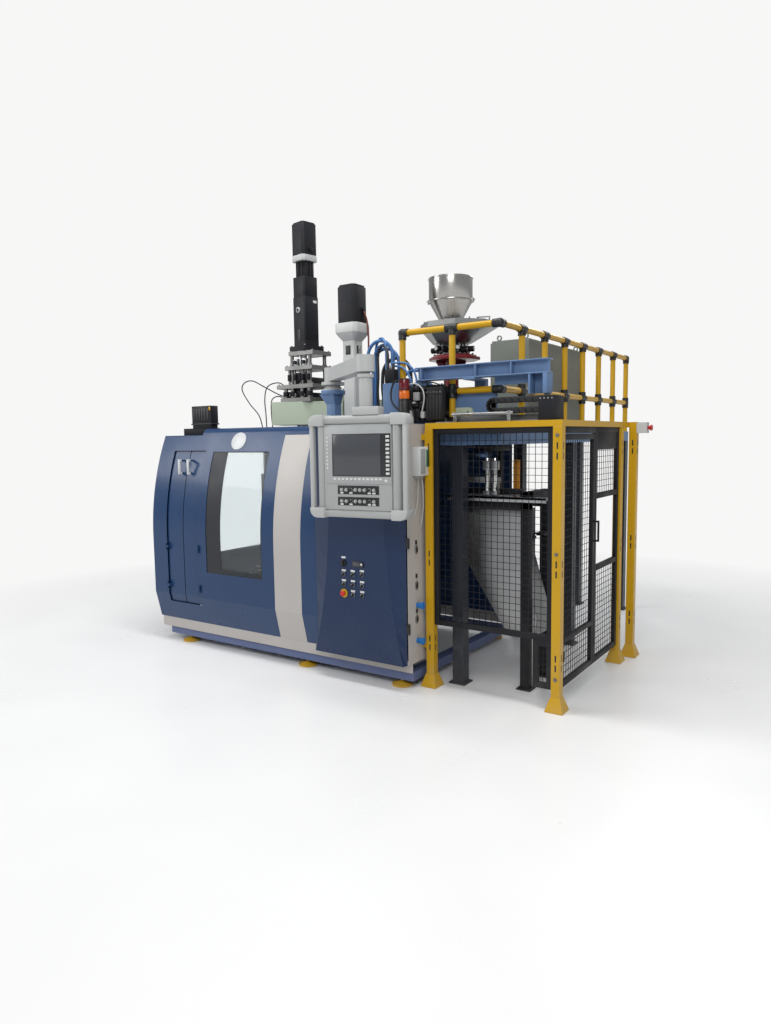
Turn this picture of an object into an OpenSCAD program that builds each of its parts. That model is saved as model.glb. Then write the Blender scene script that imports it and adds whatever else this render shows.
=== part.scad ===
// Blow moulding machine, millimetres. The origin is the middle of the sole of the guard's front corner
// foot. X runs along the front to the right, Y runs in depth away from the front, and Z is up.

/* [Casing] */
// Length of the blue casing, from its left end to the control cabinet
casing_l = 1760; // [1700:10:1900]
// Depth of the casing, front skin to back wall
casing_d = 1600; // [1550:10:1800]
// Height of the roof above the floor
roof_z = 1755; // [1735:5:1800]
// Height of the casing's lower edge
casing_z = 190; // [180:5:210]
// Radius of the bulge of the front skin
bulge_r = 2070; // [1950:10:2400]
// Height where the bulge turns upright
bulge_z = 880; // [840:10:920]
// Radius between the front skin and the roof
brow_r = 60; // [50:5:70]
// Thickness of the sheet metal
sheet_t = 4; // [3:0.5:5]
// How far the roof steps down at the left end
step_h = 55; // [40:5:70]
// Length of the lower roof at the left end
step_l = 460; // [400:10:520]
// Width of the light stripe panel
stripe_w = 259; // [220:1:280]
// Distance of the stripe panel from the control cabinet
stripe_gap = 144; // [130:1:160]

/* [Casing doors] */
// Distance of the recess from the casing's left end
recess_gap = 171; // [150:1:190]
// Distance of the window opening from the recess
window_inset = 86; // [70:1:100]
// Top of the window opening
window_top = 1570; // [1540:10:1600]
// Bottom of the window opening
window_low = 620; // [560:10:700]
// Distance of the window opening from the stripe panel
window_gap = 122; // [110:1:140]
// Width of the recess with the pair of leaves
recess_w = 378; // [350:2:400]
// Depth of the recess
recess_d = 12; // [8:1:16]
// Bottom of the recess
recess_low = 340; // [320:10:400]
// Width of the window frame's left stile
stile_w = 160; // [120:5:180]
// Width of the door in the left end
end_door_w = 910; // [860:10:940]
// Thickness of the door in the left end
end_door_t = 20; // [16:1:24]

/* [Control cabinet] */
// Width of the control cabinet
cab_w = 760; // [720:5:800]
// Depth of the cabinet's body
cab_d = 254; // [240:2:280]
// Height of the cabinet's lower edge
cab_z = 176; // [170:2:184]
// How far the faceted front stands out
bow_d = 42; // [36:1:50]
// Width of the side facets at the top
facet_w = 150; // [120:5:170]

/* [Operator panel] */
// Width of the panel over its handles
hmi_w = 726; // [700:2:740]
// Height of the panel
hmi_h = 624; // [600:2:640]
// Depth of the panel
hmi_d = 96; // [80:2:110]
// Turn of the panel towards the operator, in degrees
hmi_turn = 6.5; // [0:0.5:10]
// Width of the screen
screen_w = 364; // [330:2:380]
// Height of the screen
screen_h = 262; // [240:2:280]
// Length of the pendant arm between its two pivots
arm_l = 800; // [780:5:820]

/* [Guard] */
// Distance from the corner post to the left post
guard_w = 870; // [860:5:900]
// Distance from the corner post to the rear post
guard_d = 1165; // [1120:5:1200]
// Height of the guard
guard_h = 1749; // [1740:1:1752]
// Side of a guard post
post_s = 55; // [50:1:60]
// Width of the mesh frames' bars
bar_w = 36; // [32:1:40]
// Thickness of the mesh frames
bar_t = 24; // [20:1:28]
// Spacing of the mesh wires
wire_pitch = 84; // [78:1:92]
// Diameter of a mesh wire
wire_d = 5; // [4:0.5:6]

/* [Platform] */
// Depth of the platform, from its front edge
deck_l = 2765; // [2700:5:2800]
// Height of the platform's top
deck_z = 1690; // [1670:5:1700]
// Diameter of the railing tube
rail_d = 42; // [38:1:48]
// Height of the top rail
rail_top = 2362; // [2330:2:2390]
// Height of the middle rail
rail_mid = 1955; // [1930:5:1980]
// Spacing of the railing posts
rail_pitch = 394; // [380:2:400]

/* [Extruder] */
// Place of the extrusion head along the machine
head_x = -2320; // [-2340:2:-2300]
// Place of the extrusion head in depth
head_y = 500; // [490:1:510]
// Turn of the extruder towards the back, in degrees
ext_turn = 24; // [22:0.5:26]
// Distance from the head to the feed throat
feed_u = 1165; // [1140:5:1180]
// Height of the barrel's axis
barrel_z = 1878; // [1874:1:1880]
// Outer radius of the barrel
barrel_r = 48; // [44:1:52]
// Radius of the extruder screw
screw_r = 25; // [20:1:28]
// Radius of the hopper
hopper_r = 188; // [170:2:196]

/* [Stations] */
// Distance between the extrusion head and the blow station
shuttle_l = 463; // [440:1:470]
// How far each mould half opens
mould_open = 120; // [100:1:125]
// Radius of the tie bars
tie_r = 22; // [18:1:26]
// How far the blow pins travel
pin_travel = 180; // [150:5:200]
// How far the parison rod travels
rod_travel = 30; // [20:1:34]

/* [Hidden] */
$fn = 48;

fit = 0.3;
turn_fit = 0.06;
blue = [0.09, 0.19, 0.42];
light_blue = [0.42, 0.55, 0.78];
cream = [0.80, 0.78, 0.72];
pale_grey = [0.78, 0.79, 0.78];
steel = [0.62, 0.63, 0.64];
black = [0.07, 0.07, 0.08];
yellow = [0.95, 0.72, 0.05];
mint = [0.72, 0.83, 0.70];
aluminium = [0.72, 0.73, 0.74];

// Stations along the front, from the right
post_h = post_s / 2;
x_cab_r = -guard_w - 60;
x_cab_l = x_cab_r - cab_w;
x_stripe_r = x_cab_l - stripe_gap;
x_stripe_l = x_stripe_r - stripe_w;
x_end = x_cab_l - casing_l;
x_step = x_end + step_l;
x_window_r = x_stripe_l - window_gap;
x_recess_l = x_end + recess_gap;
x_recess_r = x_recess_l + recess_w;
x_window_l = x_recess_r + window_inset;
// Stations in depth
y_skin = -200;
y_back = y_skin + casing_d;
y_cab = -195;
y_cab_back = y_cab + cab_d;
deck_y = 105;
// Heights
rail_h = 60;
rail_z = 50;
skirt_y = -146;
cab_top = roof_z - 10;
low_roof = roof_z - step_h;
// Centre of the brow's round, where it touches both the bulge and the roof
brow_z = roof_z - brow_r;
brow_y = y_skin + bulge_r - sqrt(pow(bulge_r - brow_r, 2) - pow(brow_z - bulge_z, 2));
brow_a = 180 - atan2(brow_z - bulge_z, y_skin + bulge_r - brow_y);
// The chamfer under the front skin
chamfer_z = 408;
chamfer_s = 54 / 224;
skin_gap = 4.3;

function skin_y(z) = z < bulge_z ? y_skin
    : y_skin + bulge_r - sqrt(pow(bulge_r, 2) - pow(z - bulge_z, 2));

// A block between two opposite corners
module block(low, high) {
    translate(low) cube(high - low);
}

// A round bar along X, Y or Z from a start point
module bar_x(p, l, r) {
    translate(p) rotate([0, 90, 0]) cylinder(r = r, h = l);
}
module bar_y(p, l, r) {
    translate(p) rotate([-90, 0, 0]) cylinder(r = r, h = l);
}
module bar_z(p, l, r) {
    translate(p) cylinder(r = r, h = l);
}

// Side section of the casing in Y and Z, drawn in by an inset
module side_shape(inset) {
    centre = [y_skin + bulge_r, bulge_z];
    difference() {
        intersection() {
            translate(centre) circle(r = bulge_r - inset, $fn = 180);
            translate([y_skin - 1, bulge_z])
                square([casing_d + 1 - inset, roof_z - bulge_z - inset]);
        }
        difference() {
            polygon([[brow_y, brow_z], [brow_y, brow_z + 200], [brow_y - 300, brow_z + 300],
                [brow_y + 300 * cos(brow_a), brow_z + 300 * sin(brow_a)]]);
            translate([brow_y, brow_z]) circle(r = brow_r - inset);
        }
    }
    polygon([[y_skin + inset, bulge_z + 0.01], [y_skin + inset, chamfer_z],
        [y_skin + inset + chamfer_s * chamfer_z, 0], [y_back - inset, 0],
        [y_back - inset, bulge_z + 0.01]]);
}

// Runs a drawing in Y and Z along X from x0 to x1
module along_x(x0, x1) {
    translate([x0, 0, 0]) rotate([90, 0, 90]) linear_extrude(x1 - x0) children();
}

// A strip of the front skin between two stations and two heights
module skin(x0, x1, z0, z1, inset = 0, t = sheet_t) {
    along_x(x0, x1) intersection() {
        difference() {
            side_shape(inset);
            side_shape(inset + t);
        }
        translate([y_skin - 1, z0]) square([brow_y - y_skin + 1, z1 - z0]);
    }
}

// A fixed hinge pin between two knuckles on a side plate, and the eye that turns on it
hinge_h = 60;
pin_r = 5;
module hinge_pin(x, y, z, r = 9) {
    translate([x, y, z - hinge_h / 2]) cylinder(r = pin_r, h = hinge_h);
    for (s = [-1, 1])
        translate([x, y, z + s * hinge_h / 3 - hinge_h / 6]) cylinder(r = r, h = hinge_h / 3 - fit);
}
module hinge_eye(x, y, z, r = 9) {
    translate([x, y, z - hinge_h / 6 + fit]) difference() {
        cylinder(r = r, h = hinge_h / 3 - 3 * fit);
        translate([0, 0, -1]) cylinder(r = pin_r + turn_fit, h = hinge_h);
    }
}

// The welded base of box rails
module base_frame() {
    x0 = x_end + 100;
    x1 = x_cab_r - 8;
    color([0.45, 0.50, 0.72]) {
        for (y = [skirt_y + 16, y_back - 130])
            block([x0, y, rail_z], [x1, y + 80, rail_z + rail_h]);
        for (x = [x0, head_x - 250, head_x + 400, x_cab_l + 40, x1 - 80])
            block([x, skirt_y + 90, rail_z], [x + 80, y_back - 125, rail_z + rail_h]);
    }
}

// Round levelling feet on studs
module levelling_feet() {
    color(yellow) for (x = [x_end + 300, head_x + 440, x_cab_r - 120], y = [skirt_y + 56, y_back - 90])
        translate([x, y, 0]) {
            cylinder(r = 70, h = 14);
            translate([0, 0, 14]) cylinder(r1 = 62, r2 = 22, h = 14);
            cylinder(r = 12, h = rail_z);
        }
}

// The light skirt between the base rails and the casing
module skirt() {
    z0 = rail_z + rail_h;
    color(cream) difference() {
        block([x_end + 20, skirt_y, z0], [x_cab_r - 2, y_back, casing_z]);
        block([x_end + 20 + sheet_t, skirt_y + sheet_t, z0 - 1],
            [x_cab_r, y_back - sheet_t, casing_z + 1]);
        block([x_cab_l - 2, skirt_y - 1, cab_z - fit], [x_cab_r + 1, y_cab_back + 2, casing_z + 1]);
    }
}

// Blue front skin with the window opening and the recess
module front_casing() {
    hinge_y = y_skin - 10;
    color(blue) {
        difference() {
            union() {
                skin(x_end, x_step, casing_z, low_roof);
                skin(x_step, x_stripe_l - fit, casing_z, roof_z + 1);
            }
            block([x_window_l, y_skin - 1, window_low], [x_window_r, brow_y, window_top]);
            block([x_recess_l, y_skin - 1, recess_low], [x_recess_r, brow_y, window_top + 9]);
        }
        skin(x_stripe_l - fit, x_cab_l - fit, low_roof - 8, roof_z + 1);
        skin(x_stripe_r + fit, x_cab_l - fit, casing_z, low_roof - 7);
        for (x = [x_recess_l, x_recess_r], z = [480, 800]) {
            hinge_pin(x, hinge_y, z);
            block([x - 6, hinge_y + 5, z - hinge_h / 2], [x + 6, y_skin + 1, z - hinge_h / 6 - fit]);
        }
    }
}

// The light curved stripe panel
module stripe_panel() {
    color(cream) skin(x_stripe_l, x_stripe_r, casing_z, low_roof - 8 - fit);
}

// Roof with cut-outs for the head and the blow unit, and the lower roof at the left
module roof_panel() {
    color(blue) {
        difference() {
            block([x_step, brow_y, roof_z - sheet_t], [x_cab_r, y_back, roof_z]);
            block([head_x - 190, head_y - 170, 0], [head_x + 190, head_y + 170, roof_z + 1]);
            block([head_x + shuttle_l - 88, head_y - 88, 0],
                [head_x + shuttle_l + 88, head_y + 88, roof_z + 1]);
        }
        block([x_end, skin_y(low_roof) + 0.5, low_roof], [x_step, y_back, low_roof + sheet_t]);
        along_x(x_step - 1, x_step + sheet_t - 1) intersection() {
            side_shape(sheet_t + fit);
            translate([y_skin, low_roof + 1]) square([casing_d / 2, roof_z - low_roof - 6]);
        }
        block([x_step - 1, brow_y, low_roof + 1],
            [x_step + sheet_t - 1, y_back - sheet_t - fit, roof_z - 1]);
    }
}

// Back wall and left end wall with its door opening
end_y0 = 325;
end_y1 = end_y0 + end_door_w;
end_z0 = 560;
end_z1 = 1640;
module rear_casing() {
    lap = 26;
    hinge_x = x_end - end_door_t - 5;
    color(blue) {
        block([x_end, y_back - sheet_t, casing_z], [x_step + 1, y_back, low_roof]);
        block([x_step, y_back - sheet_t, casing_z], [x_cab_r, y_back, roof_z - sheet_t]);
        difference() {
            along_x(x_end, x_end + sheet_t) intersection() {
                side_shape(sheet_t);
                translate([y_skin, casing_z]) square([casing_d - sheet_t, low_roof - casing_z]);
            }
            block([x_end - 1, end_y0 + lap, end_z0 + lap],
                [x_end + sheet_t + 1, end_y1 - lap, end_z1 - lap]);
        }
        for (z = [end_z0 + 150, end_z1 - 150]) {
            hinge_pin(hinge_x, end_y1 + 12, z);
            block([hinge_x, end_y1 + 12, z - hinge_h / 2],
                [x_end, end_y1 + 20, z - hinge_h / 6 - fit]);
        }
    }
}

// Sliding door behind the window opening, with its window hole
door_l = x_window_l - 46;
door_r = x_window_r + 44;
pane_l = x_window_l + stile_w;
pane_r = x_window_r - 12;
module front_door() {
    color([0.20, 0.21, 0.23]) difference() {
        skin(door_l, door_r, window_low - 60, window_top + 40, skin_gap, 3);
        block([pane_l, y_skin - 1, window_low + 40], [pane_r, brow_y + 60, window_top - 6]);
    }
}

// Clear pane clamped behind the door
module front_window() {
    color([0.75, 0.85, 0.90, 0.35])
        skin(pane_l - 15, pane_r + 15, window_low + 25, window_top + 9, skin_gap + 3.3, 5);
}

// One leaf of the pair in the recess, with its pull handle
leaf_gap = 4;
module leaf(x0, x1, hinge_x, handle_x) {
    s = hinge_x < handle_x ? 1 : -1;
    color(blue) {
        skin(x0, x1, recess_low + 3, window_top + 6, recess_d, 3);
        for (z = [480, 800]) {
            hinge_eye(hinge_x, y_skin - 10, z);
            block([min(hinge_x + s * 8, hinge_x + s * 26), y_skin - 14, z - hinge_h / 6 + 3 * fit],
                [max(hinge_x + s * 8, hinge_x + s * 26), y_skin + recess_d + 1, z + hinge_h / 6 - 3 * fit]);
        }
    }
    handle_z = 1395;
    handle_h = 112;
    color(pale_grey) {
        translate([handle_x - 7, skin_y(handle_z) - 22, handle_z]) cube([14, 10, handle_h]);
        for (z = [handle_z, handle_z + handle_h - 14])
            translate([handle_x - 7, skin_y(handle_z) - 22, z])
                cube([14, skin_y(z + 7) - skin_y(handle_z) + recess_d + 23.5, 14]);
    }
}
leaf_mid = (x_recess_l + x_recess_r) / 2;
module left_leaf() {
    leaf(x_recess_l + 2, leaf_mid - leaf_gap, x_recess_l, leaf_mid - 52);
}
module right_leaf() {
    leaf(leaf_mid + leaf_gap, x_recess_r - 2, x_recess_r, leaf_mid + 52);
}

// Hinged door in the left end, with its window hole
module end_door() {
    color(blue) difference() {
        block([x_end - end_door_t - fit, end_y0, end_z0], [x_end - fit, end_y1, end_z1]);
        block([x_end - end_door_t - 1, end_y0 + 75, end_z0 + 80], [x_end + 1, end_y1 - 75, end_z1 - 75]);
    }
    color(blue) for (z = [end_z0 + 150, end_z1 - 150]) {
        hinge_eye(x_end - end_door_t - 5, end_y1 + 12, z);
        block([x_end - end_door_t - 9, end_y1 - 12, z - hinge_h / 6 + 3 * fit],
            [x_end - end_door_t - 0.2, end_y1 + 5, z + hinge_h / 6 - 3 * fit]);
    }
    color(pale_grey) {
        block([x_end - end_door_t - 48, end_y0 + 28, 1020], [x_end - end_door_t - 34, end_y0 + 42, 1180]);
        for (z = [1020, 1166])
            block([x_end - end_door_t - 36, end_y0 + 28, z],
                [x_end - end_door_t, end_y0 + 42, z + 14]);
    }
}

// Clear pane in the end door
module end_window() {
    color([0.75, 0.85, 0.90, 0.35])
        block([x_end - end_door_t / 2 - 3, end_y0 + 75 + fit, end_z0 + 80 + fit],
            [x_end - end_door_t / 2 + 3, end_y1 - 75 - fit, end_z1 - 75 - fit]);
}

// Columns, beams and linear rails that carry the stations
col_s = 80;
col_x0 = head_x - 160;
col_x1 = head_x + shuttle_l + 310;
col_y0 = head_y - 440;
col_y1 = head_y + 360;
way_z = 640;
way_y = [col_y0 + col_s - 1, col_y1 - col_s + 1];
module main_frame() {
    z0 = rail_z + rail_h + 0.1;
    low_z = casing_z + 30;
    top_z = roof_z - sheet_t - fit;
    color([0.30, 0.33, 0.40]) {
        for (x = [col_x0, col_x1], y = [col_y0, col_y1])
            block([x - col_s / 2, y, z0], [x + col_s / 2, y + col_s,
                x == col_x0 && y == col_y0 ? way_z - 10 : top_z]);
        for (y = way_y)
            block([head_x - 300, y, way_z - 70], [head_x + shuttle_l + 350, y + col_s, way_z]);
        for (x = [col_x0, col_x1])
            block([x - col_s / 2, col_y0, z0 + 20], [x + col_s / 2, col_y1 + col_s, low_z + 20]);
        for (x = [col_x0 - 40, col_x1])
            block([x - col_s / 2, y_cab_back + 2, top_z - 60], [x + col_s / 2, col_y1 + col_s, top_z]);
    }
    color(aluminium) for (y = way_y)
        block([head_x - 290, y + 28, way_z - 1], [head_x + shuttle_l + 290, y + 52, way_z + 20]);
}

// Sheet-metal body of the control cabinet, open at the front
module control_cabinet() {
    color(cream) {
        difference() {
            block([x_cab_l, y_cab, cab_z], [x_cab_r, y_cab_back, cab_top]);
            block([x_cab_l + 3, y_cab - 1, cab_z + 30], [x_cab_r - 3, y_cab_back - 3, cab_top - 25]);
        }
        for (z = [422, 984]) {
            hinge_pin(x_cab_r + 8, y_cab - 12, z, 8);
            block([x_cab_r - 0.5, y_cab - 12, z - hinge_h / 2],
                [x_cab_r + 10, y_cab + 20, z - hinge_h / 6 - fit]);
        }
    }
}

// Plan outline of the faceted cabinet front at a share of its height, 0 at the top and 1 below
function bow_ring(s, z) = [
    [x_cab_l, y_cab - fit, z],
    [x_cab_l, y_cab - 5, z],
    [x_cab_l + 8 + facet_w * (1 - pow(s, 3)), y_cab - bow_d, z],
    [x_cab_r - 10 - 8 - facet_w * (1 - pow(s, 3)), y_cab - bow_d, z],
    [x_cab_r - 10, y_cab - 5, z],
    [x_cab_r - 10, y_cab - fit, z]];
bow_steps = 12;
module control_door() {
    z1 = roof_z - 14;
    z0 = cab_z;
    points = [for (k = [0:bow_steps]) each bow_ring(k / bow_steps, z1 - (z1 - z0) * k / bow_steps)];
    sides = [for (k = [0:bow_steps - 1], i = [0:5])
        [6 * k + i, 6 * k + (i + 1) % 6, 6 * (k + 1) + (i + 1) % 6, 6 * (k + 1) + i]];
    color(blue) {
        difference() {
            polyhedron(concat(points), concat([[5, 4, 3, 2, 1, 0]], sides,
                [[for (i = [0:5]) 6 * bow_steps + i]]));
            block([x_cab_l + facet_w + 24, y_cab - bow_d + 12, z0 + 60],
                [x_cab_r - facet_w - 34, y_cab + 1, z1 - 60]);
            translate([stop_x, y_cab - bow_d - 1, stop_z]) rotate([-90, 0, 0])
                cylinder(r = 11, h = bow_d + 2);
            translate([stop_x, y_cab - bow_d - 1, dial_z]) rotate([-90, 0, 0])
                cylinder(r = 9, h = bow_d + 2);
        }
        for (z = [422, 984]) {
            hinge_eye(x_cab_r + 8, y_cab - 12, z, 8);
            block([x_cab_r - 14, y_cab - 16, z - hinge_h / 6 + 3 * fit],
                [x_cab_r + 2, y_cab - 4 - fit, z + hinge_h / 6 - 3 * fit]);
        }
    }
}

// Switch places on the cabinet front: columns and heights
stop_x = x_cab_l + 272;
stop_z = 615;
dial_z = 822;
switch_dx = 76;
panel_y = y_cab - bow_d;
module switch_plates() {
    places = [[0, 746], [0, 678], [1, 747], [1, 679], [1, 610], [2, 754], [2, 679], [2, 612]];
    color(black) {
        block([stop_x + switch_dx, panel_y - 6, 803], [stop_x + 2.2 * switch_dx, panel_y, 842]);
        for (p = places)
            bar_y([stop_x + p[0] * switch_dx, panel_y - 20, p[1]], 20, 12);
    }
    color(pale_grey) for (p = concat(places, [[0, 835]]))
        block([stop_x + p[0] * switch_dx - 17, panel_y - 1.5, p[1] + 18],
            [stop_x + p[0] * switch_dx + 17, panel_y, p[1] + 32]);
    color(yellow) translate([stop_x, panel_y - 4, stop_z]) rotate([-90, 0, 0]) difference() {
        cylinder(r = 30, h = 4);
        translate([0, 0, -1]) cylinder(r = 11, h = 6);
    }
}

// Turning selector on a shaft
module main_switch() {
    color(black) translate([stop_x, panel_y, dial_z]) rotate([90, 0, 0]) {
        translate([0, 0, fit]) cylinder(r = 22, h = 9);
        translate([-5, -20, 9]) cube([10, 40, 10]);
        translate([0, 0, -25]) cylinder(r = 9 - turn_fit, h = 26);
    }
}

// Red mushroom button on its stem
module stop_button() {
    color([0.75, 0.06, 0.05]) translate([stop_x, panel_y, stop_z]) rotate([90, 0, 0]) {
        translate([0, 0, -25]) cylinder(r = 11 - turn_fit, h = 40);
        translate([0, 0, 13]) cylinder(r1 = 17, r2 = 20, h = 8);
        translate([0, 0, 21]) cylinder(r1 = 20, r2 = 15, h = 6);
    }
}

// White module, round ports and blue couplings on the cabinet's side
module side_fittings() {
    x = x_cab_r;
    color(pale_grey) {
        block([x, y_cab + 40, 1418], [x + 58, y_cab + 150, 1590]);
        block([x, y_cab + 60, 1398], [x + 40, y_cab + 130, 1418]);
    }
    color(steel) for (z = [945, 790, 640, 470])
        translate([x, y_cab + 110, z]) rotate([0, 90, 0]) difference() {
            cylinder(r = 24, h = 12);
            translate([0, 0, 6]) cylinder(r = 16, h = 7);
        }
    color([0.05, 0.30, 0.65]) for (z = [560, 318]) {
        bar_x([x, y_cab + 110, z], 34, 18);
        bar_x([x + 34, y_cab + 110, z], 16, 24);
    }
}

// Flared bracket on the roof that carries the pendant arm
pend_x = x_cab_l + 10;
pend_y = 20;
arm_z = 2048;
module pendant_bracket() {
    base_z = roof_z;
    color(light_blue) {
        block([pend_x - 90, pend_y + 16, base_z], [pend_x + 90, pend_y + 150, base_z + 14]);
        block([pend_x - 60, pend_y - 40, base_z + 14], [pend_x + 60, pend_y + 60, 1962]);
        hull() {
            block([pend_x - 60, pend_y - 50, 1962], [pend_x + 60, pend_y + 60, 1964]);
            block([pend_x - 118, pend_y - 90, 2024], [pend_x + 118, pend_y + 90, 2026]);
        }
        block([pend_x - 118, pend_y - 90, 2026], [pend_x + 118, pend_y + 90, 2034]);
    }
    color(light_blue) block([pend_x - 60, pend_y + 16, base_z + 10], [pend_x + 60, pend_y + 60, base_z + 20]);
    color(steel) bar_z([pend_x, pend_y, 2033], 30, 24);
}

// Arm from the swivel on the bracket to the elbow above the operator panel
arm_turn = -37.5;
elbow_x = pend_x + arm_l * cos(arm_turn);
elbow_y = pend_y + arm_l * sin(arm_turn);
module pendant_arm() {
    color(pale_grey) translate([pend_x, pend_y, 0]) rotate([0, 0, arm_turn]) {
        difference() {
            union() {
                translate([0, 0, 2034 + fit]) cylinder(r = 82, h = 22);
                translate([0, 0, arm_z + 8]) cylinder(r = 60, h = 100);
                translate([0, -42, arm_z + 12]) cube([arm_l, 84, 92]);
                translate([arm_l, 0, arm_z + 8]) cylinder(r = 58, h = 100);
            }
            translate([0, 0, 2000]) cylinder(r = 24 + turn_fit, h = 64);
        }
        translate([arm_l, 0, arm_z - 10]) cylinder(r = 28, h = 20);
    }
}

// Places everything on the operator panel: x across its face, y in depth, z from its middle
hmi_z = 1491;
module on_panel() {
    translate([elbow_x, elbow_y, hmi_z]) rotate([0, 0, hmi_turn]) translate([-52, 0, 0]) children();
}

// Bezel-free body with rounded end caps, tubular side handles and the post up to the elbow
body_w = hmi_w - 150;
cap_h = 62;
module panel_housing() {
    bar_r = 14;
    color(pale_grey) on_panel() {
        translate([-body_w / 2, -hmi_d / 2, -hmi_h / 2 + cap_h - 4]) cube([body_w, hmi_d, hmi_h - 2 * cap_h + 8]);
        for (s = [-1, 1]) {
            translate([0, 0, s * (hmi_h / 2 - cap_h / 2)]) difference() {
                rotate([90, 0, 0]) translate([0, 0, -hmi_d / 2 - 3]) linear_extrude(hmi_d + 6)
                    intersection() {
                        square([hmi_w, cap_h], center = true);
                        translate([0, -s * (hmi_w * 1.2 - cap_h / 2)]) circle(r = hmi_w * 1.2, $fn = 180);
                        translate([0, -s * cap_h / 2]) square([hmi_w, cap_h * 2], center = true);
                    }
                for (e = [-1, 1]) translate([e * (hmi_w / 2), 0, s * cap_h / 2]) rotate([0, s * e * 38, 0])
                    cube([40, hmi_d + 20, 70], center = true);
            }
            translate([s * (hmi_w / 2 - bar_r - 2), 0, -hmi_h / 2 + cap_h - 2])
                cylinder(r = bar_r, h = hmi_h - 2 * cap_h + 4);
            for (e = [-1, 1]) translate([s * (body_w / 2 + 22), 0, e * (hmi_h / 2 - cap_h - 14)])
                cube([64, 22, 26], center = true);
        }
        translate([52, 0, hmi_h / 2 - 3]) {
            cylinder(r = 92, h = 16);
            cylinder(r = 50, h = arm_z - hmi_z - hmi_h / 2 - 8);
        }
    }
}

// Bezel with the soft keys and the two rows of push keys
module panel_front() {
    y = -hmi_d / 2;
    color([0.70, 0.72, 0.73]) on_panel() difference() {
        translate([-253, y - 6, -98]) cube([496, 6, 344]);
        translate([-screen_w / 2 - 6, y - 7, 66 - screen_h / 2]) cube([screen_w, 8, screen_h]);
    }
    color([0.90, 0.90, 0.88]) on_panel() for (k = [0:9]) {
        translate([-screen_w / 2 - 40, y - 8, 180 - 25 * k]) cube([22, 3, 14]);
        translate([screen_w / 2 + 12, y - 8, 180 - 25 * k]) cube([24, 3, 14]);
    }
    color(black) on_panel() for (z = [-152, -232])
        translate([-154, y - 4, z]) cube([310, 4, 62]);
    color([0.62, 0.63, 0.64]) on_panel() for (z = [-118, -198], k = [0:7])
        translate([-116 + 33.5 * k, y, z]) rotate([90, 0, 0]) cylinder(r = 12, h = 9, $fn = 24);
}

// Glass of the screen
module panel_screen() {
    color([0.25, 0.27, 0.30]) on_panel()
        translate([-screen_w / 2 - 6 + 0.2, -hmi_d / 2 - 3.5, 66 - screen_h / 2 + 0.2])
            cube([screen_w - 0.4, 3.5, screen_h - 0.4]);
}

// Places the extruder: x along the barrel from the head, y across it
module at_extruder() {
    translate([head_x, head_y, 0]) rotate([0, 0, ext_turn]) children();
}

// Channel-shaped base of the extruder with the barrel cover
ext_base = roof_z + 20;
frame_h = 182;
frame_half = 150;
drive_u = feed_u + 95;
drive_l = 280;
cover_u = 250;
module extruder_frame() {
    plate = 12;
    color(mint) at_extruder() {
        difference() {
            translate([-260, -frame_half, ext_base])
                cube([drive_u + drive_l + 260, 2 * frame_half, frame_h]);
            translate([-260 + plate, -frame_half + plate, ext_base + plate])
                cube([drive_u + drive_l + 300, 2 * (frame_half - plate), frame_h]);
            cylinder(r = 112, h = 3000);
            column_space();
        }
        difference() {
            translate([cover_u, 10 - frame_half, ext_base + frame_h - 12]) cube([260, 2 * frame_half - 20, 108]);
            translate([cover_u + 8, 18 - frame_half, ext_base + frame_h - 20]) cube([244, 2 * frame_half - 36, 108]);
            column_space();
        }
        for (x = [560, 1000])
            translate([x, -frame_half, roof_z + 0.1]) cube([120, 2 * frame_half, 20]);
    }
}

// Room for the blow unit's column and its flange, in the extruder's own directions
module column_space() {
    h = flange_h + 6;
    rotate([0, 0, -ext_turn]) translate([shuttle_l - h, -h, 0]) cube([2 * h, 2 * h, 3000]);
}

// Barrel with heater bands
module extruder_barrel() {
    color(steel) at_extruder() translate([0, 0, barrel_z]) rotate([0, 90, 0]) difference() {
        union() {
            translate([0, 0, 92.3]) cylinder(r = barrel_r, h = drive_u - 92.6);
            translate([0, 0, 92.3]) cylinder(r = barrel_r + 10, h = 36);
            for (u = [180:150:feed_u - 160])
                translate([0, 0, u]) cylinder(r = barrel_r + 8, h = 120);
        }
        translate([0, 0, 90]) cylinder(r = screw_r + turn_fit, h = drive_u);
        translate([-200, 0, feed_u]) rotate([0, 90, 0]) cylinder(r = 28, h = 200);
    }
}

// Screw with its root, flight and shank
module extruder_screw() {
    flight = 50;
    color([0.80, 0.80, 0.78]) at_extruder() translate([0, 0, barrel_z]) rotate([0, 90, 0]) {
        translate([0, 0, 130]) cylinder(r1 = 2, r2 = 16, h = 20);
        translate([0, 0, 150]) cylinder(r = screw_r - 7, h = drive_u - 145);
        for (u = [160:flight:feed_u + 20])
            translate([0, 0, u]) cylinder(r = screw_r, h = 7);
        translate([0, 0, feed_u + 60]) cylinder(r = screw_r, h = drive_u - feed_u - 61);
    }
}

// Finned motor that drives the screw
module extruder_drive() {
    r = 88;
    color([0.25, 0.27, 0.30]) at_extruder() translate([0, 0, barrel_z]) rotate([0, 90, 0]) difference() {
        union() {
            translate([0, 0, drive_u]) cylinder(r = r - 12, h = drive_l - 2);
            for (k = [0:6])
                translate([0, 0, drive_u + 14 + k * 38]) cylinder(r = r, h = 16);
        }
        translate([0, 0, drive_u - 1]) cylinder(r = screw_r + 0.5, h = 60);
    }
    color([0.25, 0.27, 0.30]) at_extruder() translate([drive_u + 20, -80, ext_base + 12])
        cube([drive_l - 60, 160, barrel_z - r - ext_base - 2]);
}

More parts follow.
